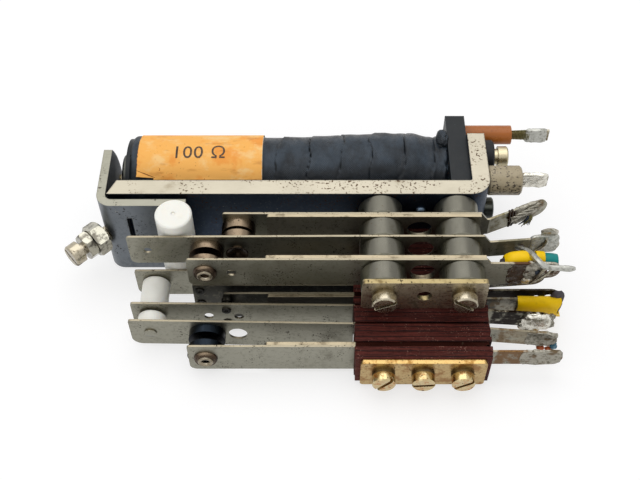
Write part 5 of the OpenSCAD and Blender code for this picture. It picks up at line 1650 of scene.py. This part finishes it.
@dataclass
class Studio:
    """Pale floor, soft plain light and the camera at the photograph's viewpoint."""

    eye: Point = (1.6033, -137.5, 198.226)
    tilt: float = 37.0
    lens: float = 56.53
    sensor: float = 36.0
    # The floor's side and, from its middle, where it turns from matte paper to plain white, in metres
    floor: float = 3.0
    matte_reach: tuple[float, float] = (0.1, 0.35)
    # What share of the floor glows near the relay, and how strongly: glow and lit paper add up to white
    glow_share: float = 0.6
    glow_power: float = 1.11
    paper: Rgba = (0.97, 0.965, 0.97, 1)
    sky_power: float = 0.5
    white: Rgba = (1, 1, 1, 1)

    def build(self, shop: Workshop) -> None:
        """Sets up camera, floor, world and lamps.

        Args:
            shop: not used here, but every sub-assembly is built alike.
        """
        self.camera()
        self.ground()
        self.sky()
        self.lamp("key", (-0.05, 0.2, 0.75), 0.9, 3.4)
        self.lamp("fill", (-0.35, -0.45, 0.45), 0.6, 0.5)

    def camera(self) -> None:
        """The photograph's viewpoint."""
        data = bpy.data.cameras.new("camera")
        data.sensor_width = self.sensor
        data.lens = self.lens
        data.clip_start = 0.01
        camera = put_down("camera", data)
        camera.location = Vector(self.eye) * MM
        camera.rotation_euler = (math.radians(self.tilt), 0, 0)
        bpy.context.scene.camera = camera
        bpy.context.scene.view_settings.view_transform = "Standard"

    def shown(self, tree: bpy.types.NodeTree) -> Socket:
        """1 where the camera, a reflection or glass looks at the background, else 0.

        Args:
            tree: the node tree that asks.

        Returns:
            The share.
        """
        seen = add(tree, "LightPath").outputs
        most = seen["Is Camera Ray"]
        for ray in ("Is Glossy Ray", "Is Transmission Ray"):
            most = add(tree, "Math", {"operation": "MAXIMUM"}, {0: most, 1: seen[ray]}).outputs[0]
        return most

    def ground(self) -> None:
        """White floor that keeps a soft shadow near the relay and glows plain white further off."""
        shape = bmesh.new()
        bmesh.ops.create_grid(shape, x_segments=1, y_segments=1, size=self.floor / 2)
        mesh = bpy.data.meshes.new("floor")
        shape.to_mesh(mesh)
        shape.free()
        material = bpy.data.materials.new("paper sweep, white")
        tree = blank(material)
        canvas = Canvas.of(tree)
        away = canvas.put(Kind.LENGTH, canvas.coords)
        glowing = canvas.put(Kind.RANGE, away, *self.matte_reach, self.glow_share, 1.0)
        power = canvas.put(Kind.RANGE, away, *self.matte_reach, self.glow_power, 1.0)
        share = canvas.put(Kind.TIMES, self.shown(tree), glowing)
        matte = add(tree, "BsdfDiffuse", None, {"Color": self.paper}).outputs[0]
        glow = add(tree, "Emission", None, {"Color": self.white, "Strength": power}).outputs[0]
        mixed = add(tree, "MixShader", None, {0: share, 1: matte, 2: glow})
        add(tree, "OutputMaterial", None, {"Surface": mixed.outputs[0]})
        mesh.materials.append(material)
        put_down("floor", mesh)

    def sky(self) -> None:
        """Even white surroundings."""
        world = bpy.data.worlds.new("surroundings")
        bpy.context.scene.world = world
        tree = blank(world)
        shown = self.shown(tree)
        level = add(tree, "MapRange", None, {"Value": shown, "To Min": self.sky_power, "To Max": 1.0})
        light = add(tree, "Background", None, {"Color": self.white, "Strength": level.outputs[0]})
        add(tree, "OutputWorld", None, {"Surface": light.outputs[0]})

    def lamp(self, name: str, place: Point, size: float, power: float) -> None:
        """A square soft lamp aimed at the relay.

        Args:
            name: the lamp's name.
            place: where it hangs, in metres.
            size: its side, in metres.
            power: its power, in watts.
        """
        data = bpy.data.lights.new(name, "AREA")
        data.size = size
        data.energy = power
        lamp = put_down(name, data)
        lamp.location = place
        lamp.rotation_euler = (-Vector(place)).to_track_quat("-Z", "Y").to_euler()


def main() -> None:
    """Dresses the frame, builds every sub-assembly in order and sets the stage."""
    logging.basicConfig(level=logging.INFO, format="%(name)s: %(message)s")
    noise.seed_set(NOISE_SEED)
    shop = Workshop()
    shop.dress_frame()
    for part in (Coil(), TagWork(), PileFittings(), Studio()):
        part.build(shop)
        LOG.info("%s done", type(part).__name__)


if __name__ == "__main__":
    main()
